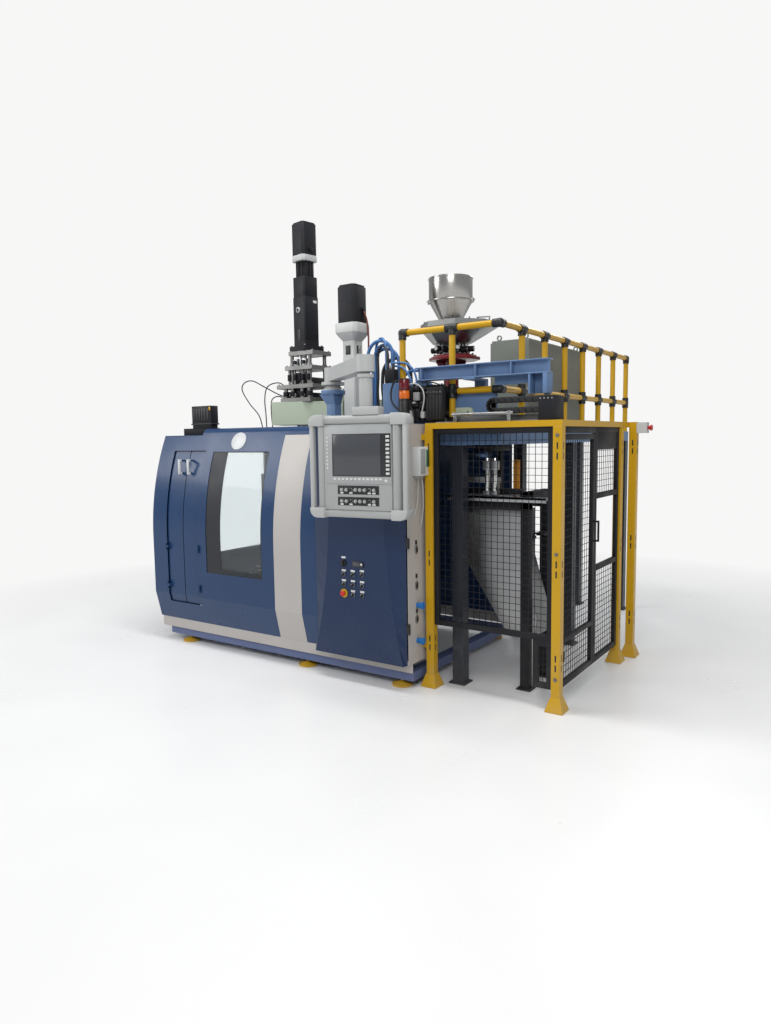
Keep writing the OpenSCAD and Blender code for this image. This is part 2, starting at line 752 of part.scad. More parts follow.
// Head body with its two nozzles below the roof
nozzle_z = 1440;
nozzle_dx = 65;
module extrusion_head() {
    color([0.55, 0.53, 0.50]) difference() {
        union() {
            translate([head_x, head_y, 1640]) cylinder(r = 92, h = 296.7);
            block([head_x - 130, head_y - 70, 1560], [head_x + 130, head_y + 70, 1650]);
            for (s = [-1, 1])
                translate([head_x + s * nozzle_dx, head_y, nozzle_z]) {
                    cylinder(r1 = 34, r2 = 48, h = 40);
                    translate([0, 0, 40]) cylinder(r = 52, h = 90);
                }
        }
        for (s = [-1, 1])
            translate([head_x + s * nozzle_dx, head_y, nozzle_z - 1]) cylinder(r = 16, h = 150);
        translate([head_x, head_y, 1600]) cylinder(r = 14.5, h = 340);
        block([head_x - 85, head_y - 15, nozzle_z + 140], [head_x + 85, head_y + 15, 1616 + rod_travel]);
    }
}

// Pin that opens the nozzle gap, on the actuator's rod
module parison_rod() {
    color([0.80, 0.80, 0.78]) {
        translate([head_x, head_y, 1612]) cylinder(r = 14, h = 2390 - 1612);
        block([head_x - 80, head_y - 10, 1590], [head_x + 80, head_y + 10, 1614]);
        for (s = [-1, 1])
            translate([head_x + s * nozzle_dx, head_y, nozzle_z]) {
                cylinder(r = 12, h = 152);
                cylinder(r1 = 15, r2 = 12, h = 14);
            }
    }
}

// Stack of plates and guide rods between the head and the actuator
stack_z = [ext_base + frame_h + fit, 2074, 2226, 2352];
module head_stack() {
    plate_t = 26;
    color([0.52, 0.52, 0.51]) difference() {
        union() {
            for (k = [0:3])
                block([head_x - 200 - (k < 2 ? 20 : 0), head_y - 140, stack_z[k]],
                    [head_x + 200, head_y + 140, stack_z[k] + plate_t]);
            for (k = [0:2], x = [-170, -60, 60, 170], y = [-110, 110])
                translate([head_x + x, head_y + y, stack_z[k] + plate_t - 1])
                    cylinder(r = 13, h = stack_z[k + 1] - stack_z[k] - plate_t + 2, $fn = 24);
            for (x = [-130, 20])
                block([head_x + x, head_y - 150, stack_z[0] + 20], [head_x + x + 90, head_y - 90, stack_z[1] - 20]);
        }
        translate([head_x, head_y, 1900]) cylinder(r = 14.5, h = 600);
    }
}

// Eight-sided housing of the actuator with its ribbed neck
body_z0 = 2378;
body_z1 = 2958;
module actuator_body() {
    color(black) difference() {
        union() {
            block([head_x - 165, head_y - 120, body_z0], [head_x + 165, head_y + 120, body_z0 + 44]);
            translate([head_x, head_y, body_z0 + 40]) linear_extrude(body_z1 - body_z0 - 40)
                polygon([for (a = [0:7]) [132 * cos(22.5 + 45 * a), 132 * sin(22.5 + 45 * a)]]);
            translate([head_x, head_y, body_z1 - 1]) {
                cylinder(r = 84, h = 122);
                for (a = [0:30:330]) rotate([0, 0, a]) translate([78, -7, 0]) cube([20, 14, 121]);
            }
        }
        translate([head_x, head_y, body_z0 - 1]) cylinder(r = 14.5, h = 120);
        block([head_x - 20, head_y - 128, 2500], [head_x + 20, head_y - 116, 2600]);
    }
}

// Motor on the actuator, with its light flange
module actuator_motor() {
    z = body_z1 + 121;
    color(pale_grey) block([head_x - 116, head_y - 116, z], [head_x + 116, head_y + 116, z + 44]);
    color(black) {
        translate([head_x, head_y, z + 44]) linear_extrude(248) chamfered(108, 34);
        translate([head_x, head_y, z + 292]) linear_extrude(12) chamfered(98, 30);
    }
}

// A square with its corners cut, by half width and cut
module chamfered(h, c) {
    polygon([[h, c - h], [h, h - c], [h - c, h], [c - h, h], [-h, h - c], [-h, c - h],
        [c - h, -h], [h - c, -h]]);
}

// Column of the blow unit through the roof, with the coupling window and the flared lantern
blow_x = head_x + shuttle_l;
lantern_z = 2408;
flange_h = 100;
module blow_column() {
    color(pale_grey) translate([blow_x, head_y, 0]) difference() {
        union() {
            translate([0, 0, 1700]) linear_extrude(lantern_z - 1700) chamfered(86, 14);
            translate([0, 0, roof_z]) linear_extrude(24) square(2 * flange_h, center = true);
            hull() {
                translate([0, 0, lantern_z - 1]) linear_extrude(1) chamfered(86, 14);
                translate([0, 0, lantern_z + 62]) linear_extrude(1) chamfered(158, 44);
            }
            translate([0, 0, lantern_z + 62]) linear_extrude(66) chamfered(158, 44);
        }
        translate([0, 0, 1690]) cylinder(r = 52, h = lantern_z + 128 - 1690 - 20);
        translate([-30, -100, lantern_z - 120]) cube([60, 40, 84]);
        translate([60, -30, lantern_z - 120]) cube([40, 60, 84]);
    }
}

// Motor of the blow unit
module blow_motor() {
    z = lantern_z + 128;
    color(black) translate([blow_x, head_y, z]) {
        linear_extrude(278) chamfered(130, 38);
        translate([0, 0, 278]) linear_extrude(16) chamfered(120, 36);
    }
}

// Blow pins on their carriage and lifting rod
pin_z = 1452;
module blow_pins() {
    color([0.66, 0.66, 0.64]) {
        bar_z([blow_x, head_y, 1620], 560, 51.9);
        block([blow_x - 150, head_y - 70, 1575], [blow_x + 150, head_y + 70, 1625]);
        for (s = [-1, 1]) translate([blow_x + s * nozzle_dx, head_y, pin_z]) {
            cylinder(r = 12, h = 125);
            translate([0, 0, 60]) cylinder(r = 24, h = 65);
            translate([0, 0, -14]) cylinder(r1 = 7, r2 = 12, h = 15);
        }
    }
}

// Clamp carriage: shoes, floor plate, end plates and tie bars
clamp_x = 210;
plate_low = way_z + 62;
tie_dx = 172;
tie_z = [820, 1330];
end_plate = [head_y - 350, head_y + 310];
module clamp_shuttle() {
    color([0.42, 0.44, 0.47]) {
        for (y = way_y, x = [-150, 90])
            difference() {
                block([head_x + x, y + 8, way_z + 2], [head_x + x + 60, y + 72, plate_low]);
                block([head_x + x - 1, y + 28 - fit, way_z + 1], [head_x + x + 61, y + 52 + fit, way_z + 20 + fit]);
            }
        difference() {
            block([head_x - clamp_x, end_plate[0], plate_low - 1], [head_x + clamp_x, end_plate[1] + 40, plate_low + 36]);
            block([head_x - 110, head_y - 130, plate_low - 2], [head_x + 110, head_y + 130, plate_low + 37]);
        }
        for (y = end_plate)
            block([head_x - clamp_x, y, plate_low + 35], [head_x + clamp_x, y + 40, 1390]);
        block([head_x - 60, end_plate[0] - 50, 1020], [head_x + 60, end_plate[0] + 1, 1140]);
    }
    color([0.80, 0.80, 0.78]) for (x = [-tie_dx, tie_dx], z = tie_z)
        bar_y([head_x + x, end_plate[0] + 39, z], end_plate[1] - end_plate[0] - 38, tie_r);
}

// A platen that slides on the tie bars, by the depth of its near face
module platen(y, t) {
    color([0.50, 0.52, 0.55]) difference() {
        block([head_x - clamp_x, y, plate_low + 40], [head_x + clamp_x, y + t, 1386]);
        for (x = [-tie_dx, tie_dx], z = tie_z)
            translate([head_x + x, y - 1, z]) rotate([-90, 0, 0]) cylinder(r = tie_r + turn_fit, h = t + 2);
        for (z = [950, 1180])
            block([head_x - 70, y - 1, z], [head_x + 70, y + t + 1, z + 24]);
    }
}
platen_t = 46;
mould_t = 104;
module front_platen() {
    platen(head_y - mould_t - platen_t, platen_t);
}
module rear_platen() {
    platen(head_y + mould_t, platen_t);
}

// Bottle-shaped cavity around Z
module cavity() {
    rotate_extrude() polygon([[0, 0], [30, 0], [36, 8], [38, 60], [34, 110], [38, 160], [36, 210],
        [22, 240], [13, 252], [13, 300], [0, 300]]);
}

// One mould half with two cavities and its pinch-off step
mould_w = 300;
module mould_half(s) {
    y0 = s < 0 ? head_y - mould_t : head_y + 0.15;
    y1 = s < 0 ? head_y - 0.15 : head_y + mould_t;
    color(aluminium) difference() {
        block([head_x - mould_w / 2, y0, 900], [head_x + mould_w / 2, y1, 1250]);
        for (e = [-1, 1]) translate([head_x + e * nozzle_dx, head_y, 952]) cavity();
        block([head_x - mould_w / 2 - 1, head_y - 6, 899], [head_x + mould_w / 2 + 1, head_y + 6, 930]);
    }
}
module front_mould() {
    mould_half(-1);
}
module rear_mould() {
    mould_half(1);
}

// Stainless hopper with a cone and a rolled flange
feed_x = head_x + feed_u * cos(ext_turn);
feed_y = head_y + feed_u * sin(ext_turn);
tray_z = 2400;
hop_z = 2722;
lid_z = 2915;
module hopper() {
    wall = 2;
    color([0.78, 0.78, 0.77]) translate([feed_x, feed_y, 0]) {
        rotate_extrude($fn = 72) polygon([[56, tray_z + 122], [56, tray_z + 160], [hopper_r, hop_z],
            [hopper_r, lid_z], [hopper_r - wall, lid_z], [hopper_r - wall, hop_z + 1],
            [56 - wall, tray_z + 161], [56 - wall, tray_z + 122]]);
        translate([0, 0, hop_z - 4]) difference() {
            cylinder(r = hopper_r + 14, h = 6);
            translate([0, 0, -1]) cylinder(r = hopper_r - 0.5, h = 8);
        }
        translate([0, 0, lid_z]) cylinder(r = hopper_r + 5, h = 6);
        translate([0, 0, lid_z + 6]) cylinder(r = 9, h = 20);
    }
}

// Blender: wide funnel with its small drives and slides underneath
module blender() {
    color([0.60, 0.61, 0.61]) translate([feed_x, feed_y, 0]) {
        rotate_extrude($fn = 64) polygon([[120, tray_z], [124, tray_z], [312, tray_z + 138],
            [312, tray_z + 172], [309, tray_z + 172], [309, tray_z + 140], [123, tray_z + 3],
            [120, tray_z + 3]]);
        difference() {
            translate([0, 0, tray_z + 110]) cylinder(r = 84, h = 11.7);
            translate([0, 0, tray_z + 109]) cylinder(r = 50, h = 14);
        }
        for (a = [0:90:270]) rotate([0, 0, a + 20])
            translate([80, -4, tray_z + 100]) cube([228, 8, 22]);
    }
    color([0.22, 0.22, 0.24]) translate([feed_x, feed_y, 0]) for (a = [0:60:300]) rotate([0, 0, a]) {
        translate([70, 0, 2322]) rotate([0, 90, 0]) cylinder(r = 30, h = 70);
        translate([140, 0, 2322]) rotate([0, 90, 0]) cylinder(r = 36, h = 44, $fn = 6);
        translate([92, -12, 2290]) cube([40, 24, tray_z - 2289]);
    }
    color(steel) bar_z([feed_x, feed_y, 2260], tray_z - 2260 + 2, 72);
}

// Red feed throat on the barrel
module feed_throat() {
    color([0.55, 0.07, 0.09]) translate([feed_x, feed_y, 0]) difference() {
        union() {
            translate([0, 0, barrel_z + barrel_r + 0.3]) cylinder(r = 58, h = 2232 - barrel_z - barrel_r);
            translate([0, 0, 2226]) cylinder(r = 205, h = 34, $fn = 8);
            for (a = [0:90:270]) rotate([0, 0, a + 45]) translate([50, -8, 2070]) cube([90, 16, 160]);
        }
        translate([0, 0, 1900]) cylinder(r = 28, h = 359);
        translate([0, 0, barrel_z]) rotate([0, 90, ext_turn]) translate([0, 0, -400])
            cylinder(r = barrel_r + 0.3, h = 800);
    }
}

// I-beam on its left column and its middle plate, with the hanging bracket at its right end
beam_y = 62;
beam_z = guard_h + 277;
beam_h = 96;
module lifting_beam() {
    x0 = x_cab_r - 340;
    x1 = -100;
    color(light_blue) {
        for (z = [beam_z, beam_z + beam_h - 9])
            block([x0, beam_y - 46, z], [x1, beam_y + 46, z + 9]);
        block([x0, beam_y - 3, beam_z], [x1, beam_y + 3, beam_z + beam_h]);
        block([x0 - 10, beam_y - 46, beam_z - 20], [x0 + 140, beam_y + 46, beam_z + 1]);
        hull() {
            block([x0 + 5, beam_y - 28, beam_z - 21], [x0 + 125, beam_y + 40, beam_z - 19]);
            block([x0 - 10, beam_y - 26, roof_z + fit], [x0 + 145, beam_y + 40, roof_z + 40]);
        }
        block([-640, beam_y - 46, beam_z - 12], [-560, deck_y + 110, beam_z + 1]);
        block([-640, deck_y + 70, deck_z + fit], [-560, deck_y + 110, beam_z - 1]);
        for (x = [-405, -265, -112])
            block([x, beam_y - 45, beam_z - 129], [x + 12, beam_y + 35, beam_z + 1]);
        block([-405, beam_y + 33, beam_z - 129], [-100, beam_y + 45, beam_z + 1]);
    }
}

// Raised platform with its beams and columns
deck_x0 = x_cab_r + 4;
deck_x1 = -418;
column_y = deck_y + 15;
module platform() {
    s = 80;
    y1 = deck_y + deck_l;
    color(light_blue) {
        block([deck_x0, deck_y, deck_z - 5], [deck_x1, y1, deck_z]);
        for (x = [deck_x0, deck_x1 - s])
            block([x, deck_y, deck_z - 85], [x + s, y1, deck_z - 5]);
        for (y = [deck_y, 700, 1400, 2100, y1 - s])
            block([deck_x0, y, deck_z - 85], [deck_x1, y + s, deck_z - 5]);
    }
    color(light_blue) block([-833, deck_y + 57, deck_z - 1], [-473, deck_y + 67, 1960]);
    color(light_blue) for (p = [[-780, column_y], [deck_x1 - s, y1 - s], [deck_x0, y1 - s],
            [deck_x1 - s, 1400], [deck_x0, 1420]]) {
        block([p[0], p[1], 8], [p[0] + s, p[1] + s, deck_z - 84]);
        block([p[0] - 20, p[1] - 20, 0], [p[0] + s + 20, p[1] + s + 20, 10]);
    }
}

// Railing: places of its posts along the front and along the right side
rail_x = deck_x1 - 22;
rail_y = deck_y + 27;
first_gap = 335;
rail_n = floor((deck_l - 60 - first_gap) / rail_pitch) + 1;
rail_left = x_cab_r - 232;
rail_r = rail_d / 2;
joint_r = rail_r + 6;
side_posts = [for (k = [0:rail_n - 1]) rail_y + first_gap + k * rail_pitch];
tee_x = rail_x - 339;
front_posts = [rail_left, tee_x];
side_ends = concat([rail_y], side_posts);

// Every tube of the railing, from joint to joint, by its radius and the distance it keeps from a joint
module rail_tubes(r, gap) {
    for (z = [rail_top, rail_mid]) {
        if (z == rail_top)
            bar_x([rail_left + gap, rail_y, z], tee_x - rail_left - 2 * gap, r);
        bar_x([tee_x + gap, rail_y, z], rail_x - tee_x - 2 * gap, r);
        for (k = [0:rail_n - 1])
            bar_y([rail_x, side_ends[k] + gap, z], side_ends[k + 1] - side_ends[k] - 2 * gap, r);
    }
    bar_z([rail_left, rail_y, roof_z], rail_top - gap - roof_z, r);
    for (p = concat([[tee_x, rail_y]], [for (y = side_posts) [rail_x, y]])) {
        bar_z([p[0], p[1], deck_z], rail_mid - gap - deck_z, r);
        bar_z([p[0], p[1], rail_mid + gap], rail_top - rail_mid - 2 * gap, r);
    }
}
module railing() {
    color(yellow) rail_tubes(rail_r, 30);
}

// A round sleeve joint on the railing: a stub along each direction in a list
module joint_sleeve(p, dirs) {
    translate(p) {
        sphere(r = joint_r + 2, $fn = 24);
        for (d = dirs)
            rotate([0, acos(d[2]), atan2(d[1], d[0])]) cylinder(r = joint_r, h = 46, $fn = 24);
    }
}
module railing_joints() {
    down = [0, 0, -1];
    color(black) difference() {
        union() {
            joint_sleeve([rail_left, rail_y, rail_top], [[1, 0, 0], down]);
            joint_sleeve([tee_x, rail_y, rail_top], [[1, 0, 0], [-1, 0, 0], down]);
            joint_sleeve([tee_x, rail_y, rail_mid], [[1, 0, 0], [0, 0, 1], down]);
            for (z = [rail_top, rail_mid])
                joint_sleeve([rail_x, rail_y, z], [[-1, 0, 0], [0, 1, 0]]);
            for (k = [0:rail_n - 1], z = [rail_top, rail_mid])
                joint_sleeve([rail_x, side_posts[k], z], concat([[0, -1, 0], down],
                    k < rail_n - 1 ? [[0, 1, 0]] : [], z == rail_mid ? [[0, 0, 1]] : []));
        }
        rail_tubes(rail_r + 0.1, 29.9);
    }
}

// Grey drive cabinet on the platform, with its lifting eyes
drive_x0 = -819;
drive_x1 = -532;
drive_y0 = 800;
drive_y1 = 1896;
module drive_cabinet() {
    top = 2345;
    color([0.52, 0.54, 0.56]) {
        block([drive_x0 + 10, drive_y0 + 10, deck_z], [drive_x1 - 10, drive_y1 - 10, deck_z + 22]);
        block([drive_x0, drive_y0, deck_z + 22], [drive_x1, drive_y1, top]);
        for (k = [0, 1])
            block([drive_x0 - 16, drive_y0 + 8 + k * 546, deck_z + 40],
                [drive_x0, drive_y0 + 540 + k * 546, top - 14]);
    }
    color(steel) for (x = [drive_x0 + 40, drive_x1 - 40], y = [drive_y0 + 40, drive_y1 - 40])
        translate([x, y, top]) {
            cylinder(r = 12, h = 8);
            translate([0, 4, 24]) rotate([90, 0, 0]) difference() {
                cylinder(r = 20, h = 8);
                translate([0, 0, -1]) cylinder(r = 11, h = 10);
            }
        }
}

// Signal light on the control cabinet: base and two lenses
module signal_light() {
    x = x_cab_r - 137;
    y = -32;
    color(black) {
        bar_z([x, y, cab_top], 12, 44);
        bar_z([x, y, cab_top + 10], 160, 35);
        bar_z([x, y, cab_top + 168], 8, 37);
    }
    color([0.95, 0.45, 0.05]) bar_z([x, y, cab_top + 176], 62, 34);
    color(black) bar_z([x, y, cab_top + 238], 5, 37);
    color([0.65, 0.08, 0.10]) bar_z([x, y, cab_top + 243], 62, 34);
    color(black) bar_z([x, y, cab_top + 305], 4, 36);
}

// Energy chain on its tray: two runs of links and the bend between them
chain_y = 20;
link_l = 44;
link_n = 8;
module chain_link() {
    difference() {
        translate([-link_l / 2 + 0.5, 0, -17]) cube([link_l - 1, 84, 34]);
        translate([-link_l / 2 + 9, -1, -11]) cube([link_l - 18, 86, 22]);
        translate([-link_l / 2, 9, -11]) cube([link_l, 66, 22]);
    }
    rotate([-90, 0, 0]) translate([link_l / 2 - 2, 0, 0]) cylinder(r = 9, h = 84, $fn = 16);
}
module energy_chain() {
    bend = 36;
    x1 = -170;
    z0 = guard_h + 24;
    color(black) {
        for (k = [0:link_n - 2], z = [z0, z0 + 2 * bend])
            translate([x1 - k * link_l, chain_y, z]) chain_link();
        translate([x1 - (link_n - 1.5) * link_l + 2, chain_y, z0 + bend]) rotate([-90, 90, 0])
            rotate_extrude(angle = 180) translate([bend - 17, 0]) square([34, 84]);
        block([x1 + 8, chain_y - 20, guard_h + fit], [x1 + 128, chain_y + 130, guard_h + 139]);
    }
    color(steel) {
        block([-840, chain_y - 6, guard_h + fit], [x1 + 10, chain_y + 86, guard_h + 6]);
        bar_x([-840, chain_y + 12, guard_h + 34], 300, 11);
        for (x = [-830, -580])
            block([x, chain_y + 4, guard_h + 5], [x + 24, chain_y + 20, guard_h + 32]);
    }
}

// Valve islands and boxes on the roofs
module valve_boxes() {
    color(black) {
        block([x_cab_r - 82, 62, roof_z], [x_cab_r - 6, 180, 1985]);
        for (k = [0:5])
            block([x_cab_r - 100, 70 + k * 17, 1790], [x_cab_r - 82, 82 + k * 17, 1930]);
        block([-905, deck_y + 75, deck_z], [-845, deck_y + 205, 1930]);
        for (k = [0:5])
            block([-899 + k * 9, deck_y + 63, 1790], [-893 + k * 9, deck_y + 75, 1900]);
        block([x_step + 20, 50, roof_z], [x_step + 250, 200, 1950]);
        block([x_step + 8, 66, 1800], [x_step + 20, 184, 1930]);
        block([x_end + 60, 70, low_roof + sheet_t], [x_step - 40, 170, low_roof + 46]);
        for (k = [0:4])
            block([x_end + 80 + k * 66, 180, low_roof + sheet_t], [x_end + 120 + k * 66, 260, low_roof + 34]);
    }
}

// A hose arched between two feet on the roof: its left foot, span, top and radius
module hose(p, span, top, r) {
    bend = span / 2;
    translate([p[0], p[1], 0]) {
        for (x = [0, span])
            translate([x, 0, roof_z + 0.3]) cylinder(r = r, h = top - bend - roof_z - 0.3);
        translate([bend, 0, top - bend]) rotate([90, 0, 0]) rotate_extrude(angle = 180)
            translate([bend, 0]) circle(r = r);
    }
    for (x = [0, span])
        translate([p[0] + x, p[1], roof_z + 0.1]) cylinder(r = r + 7, h = 16);
}
module hoses() {
    color([0.25, 0.42, 0.72]) {
        hose([-1492, 190], 208, 2352, 15);
        hose([-1484, 238], 222, 2300, 15);
        hose([-1290, 290], 250, 2140, 15);
    }
    color(black) {
        hose([-1470, 340], 240, 2240, 15);
        hose([-1320, 388], 300, 2060, 13);
    }
}

// A guard post with its foot and slots
module guard_post(x, y) {
    difference() {
        block([x - post_h, y - post_h, 3], [x + post_h, y + post_h, guard_h - 38]);
        for (z = [250, 310, 820, 880, 1520, 1580]) {
            block([x - 4, y - post_h - 1, z], [x + 4, y - post_h + 5, z + 38]);
            block([x + post_h - 5, y - 4, z], [x + post_h + 1, y + 4, z + 38]);
        }
    }
    difference() {
        hull() {
            block([x - 56, y - 56, 0], [x + 56, y + 56, 7]);
            block([x - post_h - 3, y - post_h - 3, 86], [x + post_h + 3, y + post_h + 3, 88]);
        }
        block([x - post_h + 1, y - post_h + 1, 4], [x + post_h - 1, y + post_h - 1, 90]);
    }
}

// Yellow posts and top bars of the guard
third_x = post_h + 22.5;
third_y = guard_d + 200;
module guard_frame() {
    color(yellow) {
        guard_post(0, 0);
        guard_post(-guard_w, 0);
        guard_post(0, guard_d);
        guard_post(third_x, third_y);
        block([-guard_w - post_h, -22.5, guard_h - 38], [post_h, 22.5, guard_h]);
        block([-22.5, 22.4, guard_h - 38], [22.5, third_y + post_h, guard_h]);
        block([22.4, third_y - post_h, guard_h - 38], [third_x + post_h, third_y + post_h, guard_h]);
        for (z = [260, guard_h - 109])
            block([x_cab_r + fit, -20, z], [-guard_w - post_h + 1, 20, z + 40]);
    }
}

// A mesh panel in its own plane: frame bars and wires, drawn across u and up z
module mesh_panel(w, z0, z1) {
    linear_extrude(bar_t) difference() {
        square([w, z1 - z0]);
        translate([bar_w, bar_w]) square([w - 2 * bar_w, z1 - z0 - 2 * bar_w]);
    }
    nu = floor((w - 2 * bar_w) / wire_pitch);
    nz = floor((z1 - z0 - 2 * bar_w) / wire_pitch);
    if (nu > 0) for (k = [1:nu])
        translate([bar_w + k * (w - 2 * bar_w) / (nu + 1) - wire_d / 2, bar_w - 1, bar_t / 2 - wire_d / 2])
            cube([wire_d, z1 - z0 - 2 * bar_w + 2, wire_d]);
    if (nz > 0) for (k = [1:nz])
        translate([bar_w - 1, bar_w + k * (z1 - z0 - 2 * bar_w) / (nz + 1) - wire_d / 2,
            bar_t / 2 - wire_d / 2]) cube([w - 2 * bar_w + 2, wire_d, wire_d]);
}
// Stands a panel on the front, or on the right side
module on_front(x, z) {
    translate([x, bar_t / 2, z]) rotate([90, 0, 0]) children();
}
module on_side(y, z) {
    translate([-bar_t / 2, y, z]) rotate([90, 0, 90]) children();
}

// Fixed mesh: the front, with its cut-out for scrap, and the rear half of the side
mesh_top = guard_h - 38 - fit;
front_l = -guard_w + post_h;
front_r = -post_h;
cut_x = -152;
cut_z = 424;
side_y = 624;
module guard_mesh() {
    side_r = guard_d - post_h;
    color(black) {
        on_front(front_l, cut_z) mesh_panel(front_r - front_l, cut_z, mesh_top);
        on_front(cut_x, 128) mesh_panel(front_r - cut_x, 128, cut_z - fit);
        on_side(side_y, 1238) mesh_panel(side_r - side_y, 1238, mesh_top);
        on_side(side_y, 128) mesh_panel(side_r - side_y, 128, 790);
        for (y = [side_y, side_r - bar_w])
            block([-bar_t / 2, y, 790 + fit], [bar_t / 2, y + bar_w, 1238 - fit]);
        block([-bar_t / 2, side_y + bar_w, 1560], [bar_t / 2 - 6, side_r, mesh_top]);
        block([-bar_t / 2, post_h, mesh_top - 40], [bar_t / 2, side_y - fit, mesh_top]);
        for (z = [330, 1380]) {
            hinge_pin(bar_t / 2 + 12, post_h + 14, z, 8);
            block([bar_t / 2 + 4, post_h, z - hinge_h / 2],
                [bar_t / 2 + 20, post_h + 12, z - hinge_h / 6 - fit]);
        }
    }
}

// Hinged mesh door in the front half of the side
door_y = post_h + 6;
module guard_door() {
    w = side_y - 4 - door_y;
    color(black) {
        on_side(door_y, 128) mesh_panel(w, 128, mesh_top - 44);
        block([-bar_t / 2, door_y + bar_w - 1, 400], [bar_t / 2, door_y + w - bar_w + 1, 430]);
        for (z = [330, 1380]) {
            hinge_eye(bar_t / 2 + 12, post_h + 14, z, 8);
            block([bar_t / 2 - 1, post_h + 10, z - hinge_h / 6 + 3 * fit],
                [bar_t / 2 + 6, post_h + 32, z + hinge_h / 6 - 3 * fit]);
        }
        block([bar_t / 2 + 26, door_y + w - 24, 960], [bar_t / 2 + 38, door_y + w - 12, 1100]);
        for (z = [960, 1088])
            block([bar_t / 2 - 0.5, door_y + w - 24, z], [bar_t / 2 + 30, door_y + w - 12, z + 12]);
    }
}

// Take-out and trimming inside the guard: posts, rails, cylinders, panel and chute
module trim_station() {
    color(black) {
        for (p = [[-345, 560], [-345, 240]])
            block([p[0], p[1], 8], [p[0] + 60, p[1] + 60, 1300]);
        for (p = [[-345, 560], [-345, 240]])
            block([p[0] - 20, p[1] - 20, 0], [p[0] + 80, p[1] + 80, 8.1]);
        block([-345, 240, 1240], [-285, 620, 1300]);
        block([-840, 240, 1180], [-285, 290, 1240]);
        block([-840, 570, 1180], [-285, 620, 1240]);
        block([-700, 300, 1560], [-560, 560, 1602]);
        for (x = [-690, -600])
            block([x, 420, 1302], [x + 30, 450, 1562]);
        block([-800, 390, 1270], [-420, 470, 1303]);
    }
    color(aluminium) {
        block([-860, column_y + 80 + fit, 1253], [-160, 241, 1270]);
        block([-860, column_y + 80 + fit, 1235], [-160, 213, 1270]);
        block([-870, 289, 1240], [-420, 390, 1272]);
        block([-870, 300, 1350], [-530, 345, 1390]);
        for (x = [-860, -560])
            block([x, 306, 1271], [x + 24, 340, 1351]);
    }
    color(steel) for (x = [-590, -535])
        bar_z([x, 262, 1269.9], 248, 18);
    color(aluminium) block([-620, 242, 1239], [-505, 295, 1271]);
    color([0.80, 0.42, 0.06]) block([-500, 469, 1240], [-455, 482, 1500]);
    color([0.20, 0.21, 0.23]) {
        translate([0, 520, 0]) rotate([90, 0, 0]) difference() {
            linear_extrude(220) chute_shape(0);
            translate([0, 0, 3]) linear_extrude(214) chute_shape(3);
        }
        for (y = [310, 480])
            block([-361, y, 1000], [-285, y + 30, 1010]);
        for (y = [290, 500])
            block([-345, y, 990], [-285, y + 70, 1010.1]);
    }
}

// Side outline of the folded chute under the trimming station, drawn in by a wall
module chute_shape(t) {
    top = t > 0 ? 1178 : 1176;
    low = t > 0 ? 350 : 352;
    polygon([[-800 + t, top], [-800 + t, 860], [-470 + t, low], [-262 - t, low], [-250 - t, 480],
        [-360 - t, 860], [-360 - t, top]]);
}

// White box with the red stop button on the guard's rear post
stop_button_z = guard_h - 43;
module guard_stop() {
    x = third_x + post_h;
    color(pale_grey) difference() {
        block([x, third_y - 34, guard_h - 81], [x + 72, third_y + 30, guard_h - 4]);
        bar_x([x + 40, third_y - 2, stop_button_z], 40, 11);
    }
}

// Red mushroom button of the guard's box
module guard_button() {
    x = third_x + post_h + 72;
    color([0.75, 0.06, 0.05]) {
        bar_x([x - 24, third_y - 2, stop_button_z], 40, 11 - turn_fit);
        translate([x + 14, third_y - 2, stop_button_z]) rotate([0, 90, 0]) cylinder(r1 = 18, r2 = 22, h = 12);
        bar_x([x + 26, third_y - 2, stop_button_z], 5, 20);
    }
}

base_frame();
levelling_feet();
skirt();
front_casing();
stripe_panel();
roof_panel();
rear_casing();
front_door();
front_window();
left_leaf();
right_leaf();
end_door();
end_window();
main_frame();
control_cabinet();
control_door();
switch_plates();
main_switch();
stop_button();
side_fittings();
pendant_bracket();
pendant_arm();
panel_housing();
panel_front();
panel_screen();
extruder_frame();
extruder_barrel();
extruder_screw();
extruder_drive();
extrusion_head();
parison_rod();
head_stack();
actuator_body();
actuator_motor();
blow_column();
blow_motor();
blow_pins();
clamp_shuttle();
front_platen();
rear_platen();
front_mould();
rear_mould();
hopper();
blender();
feed_throat();
lifting_beam();
platform();
railing();
railing_joints();
drive_cabinet();
signal_light();
energy_chain();
valve_boxes();
hoses();
guard_frame();
guard_mesh();
guard_door();
trim_station();
guard_stop();
guard_button();
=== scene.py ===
"""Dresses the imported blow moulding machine: camera, light, floor, finishes and fine detail."""

import math

import bmesh
import bpy
from mathutils import Matrix, Vector


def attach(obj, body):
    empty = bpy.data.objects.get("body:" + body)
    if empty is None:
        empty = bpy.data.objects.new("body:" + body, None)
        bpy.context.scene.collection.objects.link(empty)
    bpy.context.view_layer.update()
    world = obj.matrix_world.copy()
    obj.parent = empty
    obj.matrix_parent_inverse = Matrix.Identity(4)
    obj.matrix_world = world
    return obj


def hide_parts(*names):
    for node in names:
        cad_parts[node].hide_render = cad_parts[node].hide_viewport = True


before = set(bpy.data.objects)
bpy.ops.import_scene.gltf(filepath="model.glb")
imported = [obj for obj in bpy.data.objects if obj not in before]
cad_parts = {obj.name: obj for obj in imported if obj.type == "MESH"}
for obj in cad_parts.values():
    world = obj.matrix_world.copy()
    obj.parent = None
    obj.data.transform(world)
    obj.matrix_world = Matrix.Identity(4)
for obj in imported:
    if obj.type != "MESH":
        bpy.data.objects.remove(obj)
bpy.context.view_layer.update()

ROOT = "machine"


def add_object(name, data):
    thing = bpy.data.objects.new(name, data)
    bpy.context.collection.objects.link(thing)
    return thing


